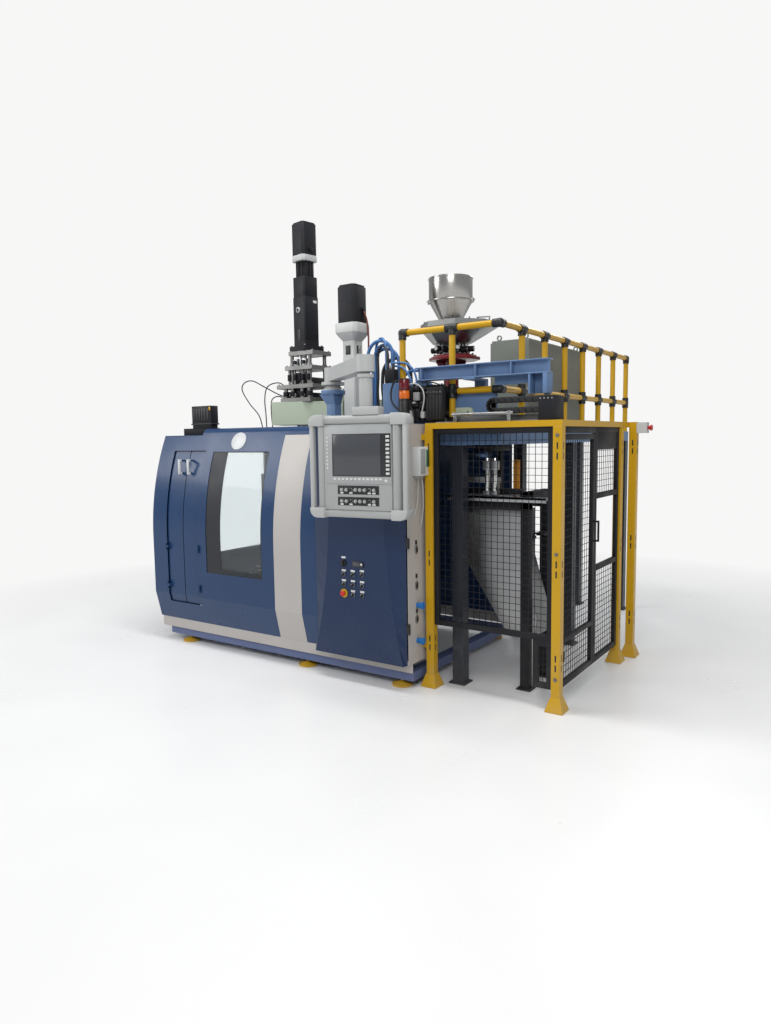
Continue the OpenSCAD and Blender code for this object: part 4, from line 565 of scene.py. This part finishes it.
# Rod stack, actuator and blow unit
def make_stack():
    p = Piece("rod_stack", ROOT, at(*HEAD))
    base, rod_hole = 1957.4, 15
    levels = [(base, -170, 140, -140, 140), (2064, -209, 169, -140, 140), (2210, -127, 154, -128, 134),
              (2326, -101, 150, -108, 125)]
    for z, x0, x1, y0, y1 in levels:
        for a, b, c, d in ((x0, x1, y0, -rod_hole), (x0, x1, rod_hole, y1),
                           (x0, -rod_hole, -rod_hole, rod_hole), (rod_hole, x1, -rod_hole, rod_hole)):
            p.box("stack_steel", 0, (a, c, z, b, d, z + 32))
        for x in (x0 + 14, x1 - 14):
            for y in (y0 + 14, y1 - 14):
                p.post("bolt", x, y, z + 31, z + 40, 8, sides=6, bevel=0.8)
    for (za, *_), (zb, *_) in zip(levels, levels[1:]):
        for x in (-84, 100):
            for y in (-85, 100):
                p.post("stack_steel", x, y, za + 30, zb + 2, 15, sides=24, bevel=0)
                p.post("bolt", x, y, za + 32, za + 50, 21, sides=6)
    for x in (-75, 15):
        p.box("black", 3, (x, -104, base + 32, x + 75, -40, 2063))
        p.stud("stack_steel", x + 37, 2010, -104, -124, 20, sides=20)
    for x in (-40, 45):
        p.box("black", 3, (x, -96, 2120, x + 44, -50, 2190))
        p.post("bright", x + 22, -60, 2096, 2211, 11, sides=20, bevel=0)
        p.post("bright", x + 22, -60, 2242, 2327, 13, sides=20, bevel=0)
    for x in (-128, -56, 44, 118):
        p.post("stack_steel", x, -118, base + 31, 2065, 17, sides=20, bevel=0)
        p.post("black", x, -118, 2004, 2040, 24, sides=20)
        p.post("stack_steel", x * 0.8, -100, 2095, 2211, 10, sides=16, bevel=0)
        p.post("black", x * 0.8, -100, 2128, 2176, 17, sides=16)
    for x in (-66, 22):
        p.box("steel", 2, (x, -92, 2242, x + 46, -30, 2300))
        p.stud("black", x + 23, 2272, -93, -106, 15, sides=16)
    p.box("black", 4, (-112, -70, 2098, 112, 96, 2150), (-100, -60, base + 31, 104, 104, 2030))
    for y, z in ((-40, 1990), (-10, 2020)):
        p.rod("bolt", (-205, y, z), (-150, y, z), 12, sides=16)
    p.box("black", 3, (-200, -20, 1990, -160, 60, 2050))
    p.make("head_stack")

    turned_head = at(*HEAD, 0, -11)
    p = Piece("actuator", ROOT, turned_head)
    p.sleeve("black", 103, 12, 15, 2358, 2400)
    p.sleeve("black", 74, 9, 15, 2400, 2440)
    p.prism("black", chamfered(74, 9), 2440, 2787, 2)
    p.prism("black", chamfered(72, 11), 2787, 2942, 2)
    p.post("black", 0, 0, 2940, 3064, 61, sides=40)
    for a in range(0, 360, 30):
        p.prism("black", turned([(56, -6), (56, 6), (71, 6), (71, -6)], a), 2941, 3063, 1)
    p.box("black_plastic", 4, (-17, -77, 2436, 17, -73, 2533))
    p.stud("handle_grey", 0, 2684, -73, -82, 22)
    p.stud("black", 0, 2684, -81, -84, 13, sides=24)
    p.box("key_white", 0.5, (73, 18, 2738, 75, 52, 2758))
    for x in (-86, 86):
        for y in (-86, 86):
            p.post("bolt", x, y, 2399, 2410, 8, sides=6)
    p.make("actuator_body")

    p = Piece("actuator_drive", ROOT, turned_head)
    p.prism("handle_grey", chamfered(79, 22), 3063, 3109, 2)
    p.prism("black", chamfered(75, 18), 3109, 3352, 2)
    p.prism("black", chamfered(67, 15), 3351, 3364, 4)
    p.rod("black", (76, 0, 3150), (92, 0, 3150), 17, sides=24)
    p.make("actuator_motor")

    p = Piece("blow_unit", ROOT, at(*BLOW))
    p.sleeve("column_grey", 57, 9, 52.6, ROOF - 1, 2404)
    p.sleeve("column_grey", 88, 4, 52.6, ROOF, ROOF + 24)
    p.loft("column_grey", [[(x, y, z) for x, y in chamfered(h, c)]
                           for z, h, c in ((2404, 58, 10), (2464, 105, 29), (2535, 105, 29))], 2)
    p.box("black_plastic", 3, (56, -26, 2300, 59, 22, 2368), (-26, -59, 2300, 22, -56, 2368))
    p.box("bright", 2, (58, -10, 2308, 62, 8, 2360))
    p.box("column_grey", 4, (57, -30, 2165, 76, 100, 2305))
    p.box("black", 6, (75, -22, 2180, 92, 92, 2292))
    p.make("blow_column")

    p = Piece("blow_drive", ROOT, at(*BLOW))
    p.prism("black", chamfered(88, 26), 2535, 2807, 2)
    p.prism("black", chamfered(80, 24), 2806, 2823, 5)
    p.rod("black", (86, 20, 2640), (100, 20, 2640), 15, sides=24)
    p.make("blow_motor")


make_stack()


# Stand under the pendant arm: column, one-sided flare, round flange and pale cone
def make_stand():
    p = Piece("arm_stand", ROOT, ARM_PIVOT)
    p.box("light_blue", 2, (-90, 16, ROOF, 90, 150, ROOF + 14), (-40, -28, ROOF + 13, 36, 44, 1902))
    p.loft("light_blue", [[(a, c, z), (b, c, z), (b, d, z), (a, d, z)]
                          for z, a, b, c, d in ((1901, -40, 36, -28, 44), (1971, -76, 50, -64, 56))], 2)
    p.post("light_blue", 0, 0, 1970, 1999, 86, sides=48, bevel=3)
    p.post("handle_grey", 0, 0, 1998, 2022, 80, 58, sides=48)
    p.post("handle_grey", 0, 0, 2021, 2033, 52, sides=48)
    for a in range(0, 360, 60):
        p.post("bolt", *polar(66, a), 1998, 2012, 7, sides=6)
    p.post("steel", 0, 0, 2032, 2063, 24, sides=32)
    p.loft("light_blue", [[(x, 43, ROOF + 13), (x, 110, ROOF + 13), (x, 43, ROOF + 110)] for x in (-6, 6)], 1)
    p.make("pendant_bracket")


make_stand()


# Hopper, blender and feed throat
def make_feed():
    cx, cy = FEED
    r, z0 = 169, 2478
    p = Piece("feed_hopper")
    p.lathe("polished", FEED, [(54, z0), (54, 2501), (r - 3, 2704), (r - 3, 2873), (r, 2873), (r, 2702), (57, 2499),
                               (57, z0)])
    p.lathe("polished", FEED, [(r - 1, 2697), (r + 12, 2697), (r + 12, 2706), (r - 1, 2706)], bevel=1)
    p.lathe("polished", FEED, [(r - 1, 2866), (r + 5, 2866), (r + 5, 2874), (r - 1, 2874)], bevel=1)
    p.post("polished", cx, cy, 2872, 2879, r + 2, sides=56)
    p.post("steel", cx, cy, 2878, 2890, 5, sides=20)
    p.post("steel", cx, cy, 2888, 2899, 9, 6, sides=20)
    for a in (20, 110, 200, 290):
        x, y = polar(r + 8, a, cx, cy)
        p.post("steel", x, y, 2690, 2724, 5, sides=12)
        p.box("steel", 2, (x - 11, y - 11, 2706, x + 11, y + 11, 2714))
    p.make("hopper")

    def ring(r, z, dx, dy):
        return [(*polar(r, 22.5 + 45 * k, cx + dx, cy + dy), z) for k in range(8)]
    p = Piece("feed_blender")
    p.loft("blender_steel", [ring(50, 2383, 0, 0), ring(148, 2383, 10, 7), ring(297, 2494, 51, 35),
                             ring(297, 2533, 51, 35), ring(301, 2533, 51, 35), ring(301, 2492, 51, 35),
                             ring(152, 2379, 10, 7), ring(50, 2379, 0, 0)], 0, closed=True)
    p.lathe("blender_steel", FEED, [(51, 2379), (62, 2379), (62, 2477.5), (51, 2477.5)])
    rim = ring(297, 2515, 51, 35)
    for k in range(0, 8, 2):
        p.post("bolt", (rim[k][0] + rim[k + 1][0]) / 2, (rim[k][1] + rim[k + 1][1]) / 2, 2533, 2545, 6, sides=12)
    p.rod("bolt", (cx + 330, cy + 20, 2560), (cx + 230, cy - 10, 2560), 5, sides=12)
    for x, y in ((cx + 322, cy + 17), (cx + 238, cy - 7)):
        p.post("bolt", x, y, 2534, 2560, 5, sides=12)
    p.post("steel", cx, cy, 2291, 2379, 60, sides=40)
    for a in range(12, 360, 60):
        for finish, near, far, thick, sides in (("black", 52, 118, 25, 24), ("steel", 117, 128, 30, 6),
                                                ("black", 128, 172, 22, 24), ("key_white", 171, 176, 15, 20)):
            p.rod(finish, (*polar(near, a, cx + 10, cy + 7), 2336), (*polar(far, a, cx + 10, cy + 7), 2336),
                  thick, sides=sides)
        p.post("bolt", *polar(96, a, cx + 10, cy + 7), 2300, 2381, 9, sides=12)
    p.make("blender")

    p = Piece("throat")
    for size, low, high in ((200, 2252, 2276), (172, 2275, 2291)):
        p.prism("red", [(x, y) for x, y, z in ring(size, low, 22, 15)], low, high, 2)
    p.lathe("red", FEED, [(29, 1930), (58, 1930), (58, 2253), (29, 2253)])
    p.lathe("red", FEED, [(57, 1990), (84, 1990), (84, 2006), (57, 2006)], bevel=1)
    rib = ((50, 2150), (60, 2150), (120, 2236), (120, 2254), (50, 2254))
    for a in range(45, 360, 90):
        p.loft("red", [[(*turned([(d, w)], a, cx, cy)[0], z) for d, z in rib] for w in (-7, 7)], 1)
    for a in range(0, 360, 45):
        p.post("bolt", *polar(160, a, cx + 22, cy + 15), 2290, 2300, 8, sides=6)
    p.make("feed_throat")


make_feed()


# Lifting beam, stands and what lies along it
def make_beam():
    p = Piece("crane_beam")
    x0, x1, z0, z1 = -994, -83, 2026, 2112
    section = [(16, z0), (108, z0), (108, z0 + 7), (68, z0 + 9), (65, z0 + 12), (65, z1 - 12), (68, z1 - 9),
               (108, z1 - 7), (108, z1), (16, z1), (16, z1 - 7), (56, z1 - 9), (59, z1 - 12), (59, z0 + 12),
               (56, z0 + 9), (16, z0 + 7)]
    p.prism("light_blue", section, x0, x1, 0.8, "x")
    p.box("light_blue", 2,
          (x0, 59, ROOF, x0 + 60, 102, z0 + 1), (x0 - 14, 59, ROOF, x0 + 74, 116, ROOF + 12),
          (-640, 16, z0 - 12, -560, 215, z0 + 1), (-640, 175, DECK, -560, 215, z0 - 11),
          (-459, 97, z0 - 50, -226, 108, z0 + 1), (-227, 97, z0 - 113, -84, 108, z0 + 1),
          (-203, 17, z0 - 120, -191, 98, z0 + 1), (-112, 17, z0 - 120, -85, 98, z0 + 1),
          (-1265, 36, ROOF, -1140, 104, 2025), (-1280, 24, ROOF, -1125, 116, ROOF + 12))
    for x in (x0 + 40, -560, -320):
        p.box("light_blue", 0.5, (x, 17, z0 + 8, x + 8, 60, z1 - 8))
    p.make("lifting_beam")


make_beam()


# Valve blocks by the cabinet and on the left roof
def make_valves():
    p = Piece("valve_gear")
    p.box("black", 4, (-924, 108, DECK, -816, 200, 1991), (-1060, 62, ROOF, -1004, 180, 1900))
    for k in range(7):
        p.box("black_plastic", 2, (-921 + 15 * k, 98, 1790, -910 + 15 * k, 109, 1960))
        p.stud("bezel_grey", -915.5 + 15 * k, 1978, 104, 97, 4, sides=12, bevel=0.6)
    p.box("steel", 2, (-926, 98, 1755, -814, 112, 1785))
    for k in range(6):
        p.box("black_plastic", 2, (-1057, 66 + 18 * k, 1900, -1007, 80 + 18 * k, 1940))
        p.box("key_white" if k % 2 else "bezel_grey", 0.6, (-1061.5, 68 + 18 * k, 1850, -1059, 78 + 18 * k, 1880))
    p.box("black", 1, (-1062, 52, 1758, -792, 58, 1996), (-1010, 57, 1800, -990, 109, 1830),
          (-812, 57, 1800, -792, 109, 1830))
    p.box("black_plastic", 5, (-915, 24, 1770, -794, 53, 1984))
    for x in range(-903, -806, 24):
        p.box("black_plastic", 2, (x - 9, 18, 1776, x + 9, 26, 1922))
        p.stud("bolt", x, 1948, 25, 17, 6, sides=12)
        p.post("black", x, 38, 1983, 1998, 8, sides=12)
    for x, z, w, h, y in ((-1058, 1902, 40, 74, 20), (-1056, 1846, 30, 46, 26), (-1020, 1856, 44, 36, 16),
                          (-972, 1850, 48, 44, 22), (-1012, 1790, 46, 58, 24), (-962, 1966, 44, 22, 24),
                          (-1012, 1960, 38, 26, 30), (-964, 1902, 42, 56, 28)):
        p.box("black_plastic", 4, (x, y, z, x + w, 53, z + h))
        p.stud("bolt", x + w / 2, z + h - 9, y + 1, y - 4, 4.5, sides=12)
    p.box("bezel_grey", 3, (-1010, 16, 1900, -968, 53, 1954))
    p.box("key_white", 0.6, (-1014, 14, 1880, -992, 18, 1892))
    p.box("grey_plastic", 5, (-1060, 22, 1786, -1019, 53, 1836))
    p.box("grey_plastic", 4, (-960, 24, 1784, -934, 53, 1828))
    for x in (-1046, -1030, -996, -984, -948):
        p.post("black", x, 36, 1759, 1790, 6, sides=12)
    for x, z in ((-1040, 1968), (-1016, 1966)):
        p.box("key_white", 2, (x - 9, 60, z - 26, x + 9, 84, z + 10))
    for x in (-880, -857, -834):
        p.post("bolt", x, 130, 1991, 2010, 8, sides=12)
    p.box("black", 8, (-1256, 44, 2025.2, -1176, 100, 2120))
    p.post("bolt", -1216, 70, 2119, 2140, 14, sides=20)
    for x in (-1240, -1198):
        p.post("black_plastic", x, 72, 2119, 2160, 9, sides=16)
    p.prism("mint", [*arc(-668, 1820, 28, 0, 90), *arc(-784, 1820, 28, 90, 180), (-812, 1790), (-640, 1790)],
            140, 200, 3, "y")
    p.box("yellow", 1, (-800, 130, 1796, -762, 141, 1836))
    p.stud("bolt", -668, 1820, 141, 134, 6, sides=16)
    p.box("steel", 2, (-806, 146, DECK, -646, 196, 1791))
    p.box("black", 5, (-3215, 60, 1796, -2985, 140, 1944))
    p.box("black_plastic", 2, (-3222, 56, 1790, -2978, 144, 1802))
    for x in range(-3196, -3035, 32):
        p.box("black_plastic", 1.5, (x, 57, 1826, x + 20, 61, 1924))
    p.box("yellow", 0.8, (-3006, 56, 1906, -2990, 61, 1934))
    p.box("black", 2, (-3212, 64, 1761, -2990, 136, 1797))
    p.box("black", 4, (-3330, 66, LEFT_ROOF, -2985, 160, 1762))
    for x in range(-3320, -3169, 50):
        p.box("black_plastic", 3, (x, 180, LEFT_ROOF, x + 30, 250, 1740))
    p.make("valve_boxes")


make_valves()


# Energy chain on the guard's top, and the signal light
def make_chain():
    p = Piece("chain_gear")
    link, n, bend, low, last, top = 44, 7, 32, GUARD_TOP + 66, -152, GUARD_TOP
    for k in range(n):
        x = last - k * link
        for z in (low, low + 2 * bend):
            for y in (20, 94):
                p.box("black_plastic", 3, (x - 21, y, z - 17, x + 21, y + 9, z + 17))
                p.stud("black", x + 20, z, y - 2, y + 11, 8, sides=16, bevel=0.6)
            for dz in (-15, 11):
                p.box("black", 1, (x - 12, 28, z + dz, x + 12, 95, z + dz + 4))
    centre = (last - n * link + link / 2 + 4, low + bend)
    side = [(15 - bend, -17), (15 - bend, 17), (-15 - bend, 17), (-15 - bend, -17)]
    bridge = [(-10 - bend, -8), (-10 - bend, 8), (-15 - bend, 8), (-15 - bend, -8)]
    for a in range(80, -81, -32):
        for y in (20, 94):
            p.prism("black_plastic", turned(side, a, *centre), y, y + 9, 2, "y")
        p.prism("black", turned(bridge, a, *centre), 28, 95, 0.8, "y")
    p.box("black", 5, (last + 20, 0, top, last + 124, 150, top + 146))
    for k in range(4):
        p.stud("bezel_grey", last + 34 + 24 * k, top + 128, 1, -2, 4, sides=12, bevel=0.5)
    p.box("stack_steel", 1, (-840, 14, top, last + 22, 106, top + 6),
          (-840, 104, top, last + 22, 108, top + 40))
    p.rod("steel", (-712, 4, top + 49), (-292, 4, top + 49), 9, sides=24)
    for x in (-700, -330):
        p.box("steel", 2, (x, -4, top, x + 24, 15, top + 62))
    p.make("energy_chain")

    p = Piece("beacon", ROOT, BEACON)
    for finish, low, high, r, bevel in (
            ("black_plastic", 0, 14, 42, 1), ("black_plastic", 10, 158, 35, 1), ("lens_orange", 166, 220, 34, 2),
            ("lens_red", 224, 292, 34, 2), ("black_plastic", 158, 166, 36.5, 1), ("black_plastic", 220, 224, 36.5, 1),
            ("black_plastic", 292, 297, 36.5, 1)):
        p.post(finish, 0, 0, low, high, r, sides=40 if bevel == 2 else 36, bevel=bevel)
    p.make("signal_light")


make_chain()


# Guard's mesh panels and door, slots and covers on its posts
def make_guard():
    bar, half_bar, pitch, wire = 36, 12, 42, 1.5
    top, hinges = GUARD_TOP - 38.6, (330, 1380)

    def panel(piece, side, start, w, z0, z1):
        """A frame of flat bars with crossed wires, along x, or along y on the side."""
        def part(u0, v0, u1, v1, half, mid=0.0, bevel=0.0):
            low, high = (start + u0, mid - half, z0 + v0), (start + u1, mid + half, z0 + v1)
            if side:
                low, high = (low[1], low[0], low[2]), (high[1], high[0], high[2])
            piece.box("black", bevel, (*low, *high))
        h = z1 - z0
        for u in (0, w - bar):
            part(u, 0, u + bar, h, half_bar, bevel=1.5)
        for v in (0, h - bar):
            part(bar - 0.5, v, w - bar + 0.5, v + bar, half_bar, bevel=1.5)
        columns, rows = int((w - 2 * bar) // pitch) + 1, int((h - 2 * bar) // pitch) + 1
        for k in range(1, columns):
            u = bar + k * (w - 2 * bar) / columns
            part(u - wire, bar - 1, u + wire, h - bar + 1, wire, wire * 0.8)
        for k in range(1, rows):
            v = bar + k * (h - 2 * bar) / rows
            part(bar - 1, v - wire, w - bar + 1, v + wire, wire, -wire * 0.8)

    p = Piece("guard_panels")
    panel(p, False, -842.5, 815, 424, top)
    panel(p, False, -152, 124.5, 128, 423.7)
    panel(p, True, 624, 513.5, 1238, top)
    panel(p, True, 624, 513.5, 128, 790)
    p.box("black", 1.5,
          (-12, 624, 789.5, 12, 660, 1238.5), (-12, 1101.5, 789.5, 12, 1137.5, 1238.5),
          (-12, 659.5, 1560, 6, 1102, top - 0.5), (-12, 27.5, top - 40, 12, 623.7, top))
    for z in hinges:
        p.post("black", 24, 41.5, z - 30, z - 10.3, 8, sides=24)
        p.post("black", 24, 41.5, z + 10.3, z + 30, 8, sides=24)
        p.box("black", 1.5, (16, 27.5, z - 30, 32, 39.5, z - 10.3))
    p.make("guard_mesh")

    p = Piece("guard_door_panel", "guard_door")
    panel(p, True, 33.5, 586.5, 128, top - 44)
    p.box("black", 1.5, (-12, 68.5, 400, 12, 585, 430))
    for z in hinges:
        p.post("black", 24, 41.5, z - 9.6, z + 9.3, 8, sides=24)
        p.box("black", 1, (11, 37.5, z - 9, 18, 59.5, z + 9))
    p.box("black", 2, (38, 596, 960, 50, 608, 1100))
    for z in (960, 1088):
        p.box("black", 1, (11.5, 596, z, 39, 608, z + 12))
    p.make("guard_door")

    p = Piece("post_slots")
    for x, y in ((0, 0), (-870, 0), (0, 1165), (50, 1365)):
        for z in (250, 310, 820, 880, 1520, 1580):
            p.box("black_plastic", 0, (x - 4.5, y - 28, z - 1, x + 4.5, y - 23, z + 39),
                  (x + 23, y - 4.5, z - 1, x + 28, y + 4.5, z + 39))
    for z in (200, 960, 1660):
        p.stud("bolt", 0, z, -27.2, -33, 11, sides=24)
        p.stud("bolt", 0, z, -32, -36, 6, sides=6)
    p.make()


make_guard()


# Trimming station inside the guard
def make_trim():
    p = Piece("trim_frame")
    for y in (560, 240):
        p.box("black", 2, (-345, y, 8, -285, y + 60, 1300), (-365, y - 20, 0, -265, y + 80, 9))
    p.box("black", 2,
          (-345, 240, 1240, -285, 620, 1300), (-840, 240, 1180, -285, 290, 1240),
          (-840, 570, 1180, -285, 620, 1240), (-690, 420, 1300, -660, 450, 1562),
          (-600, 420, 1300, -570, 450, 1562), (-800, 390, 1270, -420, 470, 1303))
    p.box("black", 3, (-700, 300, 1560, -560, 560, 1602))
    p.box("aluminium", 1.5, (-860, 200.3, 1253, -160, 241, 1270), (-860, 200.3, 1235, -160, 213, 1270))
    p.box("aluminium", 2, (-870, 289, 1240, -420, 390, 1272), (-870, 300, 1350, -530, 345, 1390),
          (-620, 242, 1239, -505, 295, 1271))
    p.box("aluminium", 1, (-860, 306, 1271, -836, 340, 1351), (-560, 306, 1271, -536, 340, 1351))
    for x in (-590, -535):
        p.post("bright", x, 262, 1270, 1518, 17)
        p.box("aluminium", 2, (x - 24, 238, 1270, x + 24, 286, 1300))
        p.box("aluminium", 3, (x - 24, 238, 1440, x + 24, 286, 1500))
    p.rod("blue_steel", (-880, 330, 1540), (-620, 330, 1540), 34, sides=32)
    p.rod("bright", (-880, 330, 1600), (-560, 330, 1600), 14, sides=24)
    p.box("light_orange", 2, (-500, 469, 1240, -455, 482, 1500))
    p.box("black", 1,
          (-361, 310, 1000, -285, 340, 1010), (-361, 480, 1000, -285, 510, 1010),
          (-345, 290, 990, -285, 360, 1010), (-345, 500, 990, -285, 570, 1010))
    outer = [(-800, 1176), (-800, 860), (-470, 352), (-262, 352), (-250, 480), (-360, 860), (-360, 1176)]
    inner = [(-797, 1178), (-797, 861), (-469, 349), (-265, 349), (-253, 480), (-363, 860), (-363, 1178)]
    for k in (0, 1, 3, 4, 5):
        p.prism("chute_steel", [outer[k], outer[k + 1], inner[k + 1], inner[k]], 300, 520, 0, "y")
    for y in (300, 517):
        p.prism("chute_steel", outer, y, y + 3, 0.5, "y")
    p.make("trim_station", slot="dark_paint")


make_trim()


# Faces of the control door, pull sleeves and hinge covers
def make_switches():
    p = Piece("switch_faces", "control_door", STOP_BUTTON)
    pitch = 76
    places = [(0, 746), (0, 678), (1, 747), (1, 679), (1, 610), (2, 754), (2, 679), (2, 612)]
    p.box("screen_frame", 1.5, (pitch, -6, 803, 2.2 * pitch, 0, 842))
    p.box("screen", 0.6, (pitch + 6, -7, 812, pitch + 62, -5, 834))
    p.box("key_white", 1, (pitch + 68, -7.5, 816, pitch + 82, -5, 830))
    for column, z in places:
        x = column * pitch
        p.stud("steel", x, z, 0, -5, 14.5, sides=32)
        p.stud("black_plastic", x, z, -4, -13, 12)
        p.box("black_plastic", 1.5, (x - 3.5, -20, z - 12, x + 3.5, -12, z + 12))
        p.box("key_white", 0, (x - 1, -20.6, z + 3, x + 1, -19.5, z + 11))
    for column, z in [*places, (0, 835)]:
        x = column * pitch
        p.box("key_white", 0.5, (x - 17, -1.5, z + 18, x + 17, 0, z + 32))
    circle = [polar(1, 9 * k) for k in range(40)]
    p.loft("yellow", [[(r * c, y, 615 + r * s) for c, s in circle] for r, y in ((30, 0), (30, -4), (12, -4), (12, 0))],
           0, closed=True)
    p.make("switch_plates")

    p = Piece("hinge_covers")
    for z in (422, 984):
        p.post("black_plastic", -922, -207, z - 34, z + 34, 12.5, sides=24, bevel=2)
    p.make()

    grip = [(-8, -160), (-5, -164), (5, -164), (8, -160), (8, -148), (5, -144), (-5, -144), (-8, -148)]
    for name, body, x in (("left_sleeve", "left_leaf", -3142), ("right_sleeve", "right_leaf", -3038)):
        p = Piece(name, body)
        p.prism("key_white", [(x + u, v) for u, v in grip], 1391, 1511, 2)
        for z in (1391, 1493):
            p.box("key_white", 1.5, (x - 8, -150, z, x + 8, -133, z + 18))
        p.make()


make_switches()


# Side fittings on the cabinet, badge disc on the skin
def make_trimmings():
    p = Piece("side_gear")
    x = CABINET_SIDE
    p.box("key_white", 5, (x, -134, 1412, x + 58, -3, 1598))
    p.box("bezel_grey", 1.5, (x + 57, -122, 1425, x + 61, -66, 1585))
    p.box("green", 1.5, (x + 57, -52, 1470, x + 66, -22, 1580))
    for z in range(1474, 1566, 13):
        p.box("black_plastic", 0.4, (x + 65, -48, z, x + 67.5, -26, z + 8))
    p.box("bezel_grey", 2, (x, -118, 1396, x + 40, -52, 1413))
    for z in (932, 694, 468):
        for finish, size, low, high, bevel in (("steel", 1, 0, 7, 1), ("black_plastic", 0.72, 6, 9, 0.8)):
            oval = [(17 * size * c - 96, z + 29 * size * s) for c, s in (polar(1, a) for a in range(0, 360, 15))]
            p.prism(finish, oval, x + low, x + high, bevel, "x")
    for z in (978, 757, 524):
        p.box("black_plastic", 2, (x, -104, z - 14, x + 8, -90, z + 14))
    for z in (559, 321):
        p.rod("connector_blue", (x, -84, z), (x + 34, -84, z), 18)
        p.rod("connector_blue", (x + 33, -84, z), (x + 50, -84, z), 24, sides=12, bevel=2)
    p.make("side_fittings")

    # The skin bulges with this radius about a line at this height and depth
    bulge, bulge_z, bulge_y = 2070, 880, 1870
    p = Piece("badge")
    rims = []
    for shrink, lift in ((1.0, 0.0), (1.0, 4.0), (0.94, 5.5)):
        rims.append([])
        for k in range(36):
            c, s = polar(shrink, 10 * k)
            z = 1652 + 66 * s
            rims[-1].append((-2561 + 76 * c, bulge_y - math.sqrt(bulge ** 2 - (z - bulge_z) ** 2) - lift, z))
    p.loft("badge_grey", rims, 0)
    p.make()


make_trimmings()


# Floor, backdrop and light
def make_stage():
    n = Nodes("stage_floor")
    base = n.mix(n.noise(0.8, 4), (0.79, 0.787, 0.782, 1), (0.85, 0.847, 0.842, 1))
    gloss = n.spread(n.noise(1.5, 5), 0.3, 0.7, 0.25, 0.42)
    near = n.add("BsdfPrincipled", {"Base Color": base, "Roughness": gloss})
    near.inputs["Specular IOR Level"].default_value = 0.3
    far = n.add("Emission", {"Color": (*BACKDROP, 1)})
    away = n.add("VectorMath", {0: n.place(), 1: (-1.4, 0.6, 0)}, operation="DISTANCE").outputs["Value"]
    path = n.add("LightPath")
    seen = n.math("MAXIMUM", n.math("MAXIMUM", path.outputs["Is Camera Ray"], path.outputs["Is Glossy Ray"]),
                  path.outputs["Is Transmission Ray"])
    share = n.math("MULTIPLY", n.spread(away, 2.8, 5.6), seen)
    floor_material = n.finish(n.add("MixShader", {0: share, 1: near.outputs[0], 2: far.outputs[0]}))
    mesh = bpy.data.meshes.new("floor")
    half = 40
    mesh.from_pydata([(-half, -half, 0), (half, -half, 0), (half, half, 0), (-half, half, 0)], [], [(0, 1, 2, 3)])
    mesh.materials.append(floor_material)
    floor = add_object("floor", mesh)
    floor.location = (0, 0, -0.0005)

    n = Nodes("studio", bpy.data.worlds, "OutputWorld")
    path = n.add("LightPath")
    seen = n.math("MAXIMUM", path.outputs["Is Camera Ray"], path.outputs["Is Transmission Ray"])
    room = n.add("Background", {"Color": (0.84, 0.86, 0.88, 1), "Strength": 0.50})
    backdrop = n.add("Background", {"Color": (*BACKDROP, 1), "Strength": 1.0})
    mixer = n.add("MixShader", {0: seen, 1: room.outputs[0], 2: backdrop.outputs[0]})
    bpy.context.scene.world = n.finish(mixer)


def area_light(name, place, aim, size, power):
    data = bpy.data.lights.new(name, "AREA")
    data.shape = "RECTANGLE"
    data.size, data.size_y = size
    data.energy = power
    lamp = add_object(name, data)
    lamp.location = place
    lamp.rotation_euler = (Vector(aim) - Vector(place)).to_track_quat("-Z", "Y").to_euler()


BACKDROP = (0.93, 0.93, 0.925)
make_stage()
for lamp in (("lamp_over", (-1.6, -0.6, 6.2), (-1.6, 0.4, 0), (6.0, 1.2), 230),
             ("lamp_front", (2.2, -5.2, 4.6), (-1.4, 0, 1.0), (3.4, 2.2), 170),
             ("lamp_left", (-6.4, -3.6, 3.8), (-2.2, 0, 1.0), (2.6, 2.6), 120),
             ("lamp_back", (-1.0, 5.6, 5.0), (-1.2, 1.0, 1.4), (4.0, 1.6), 120)):
    area_light(*lamp)
bpy.context.scene.view_settings.view_transform = "Standard"
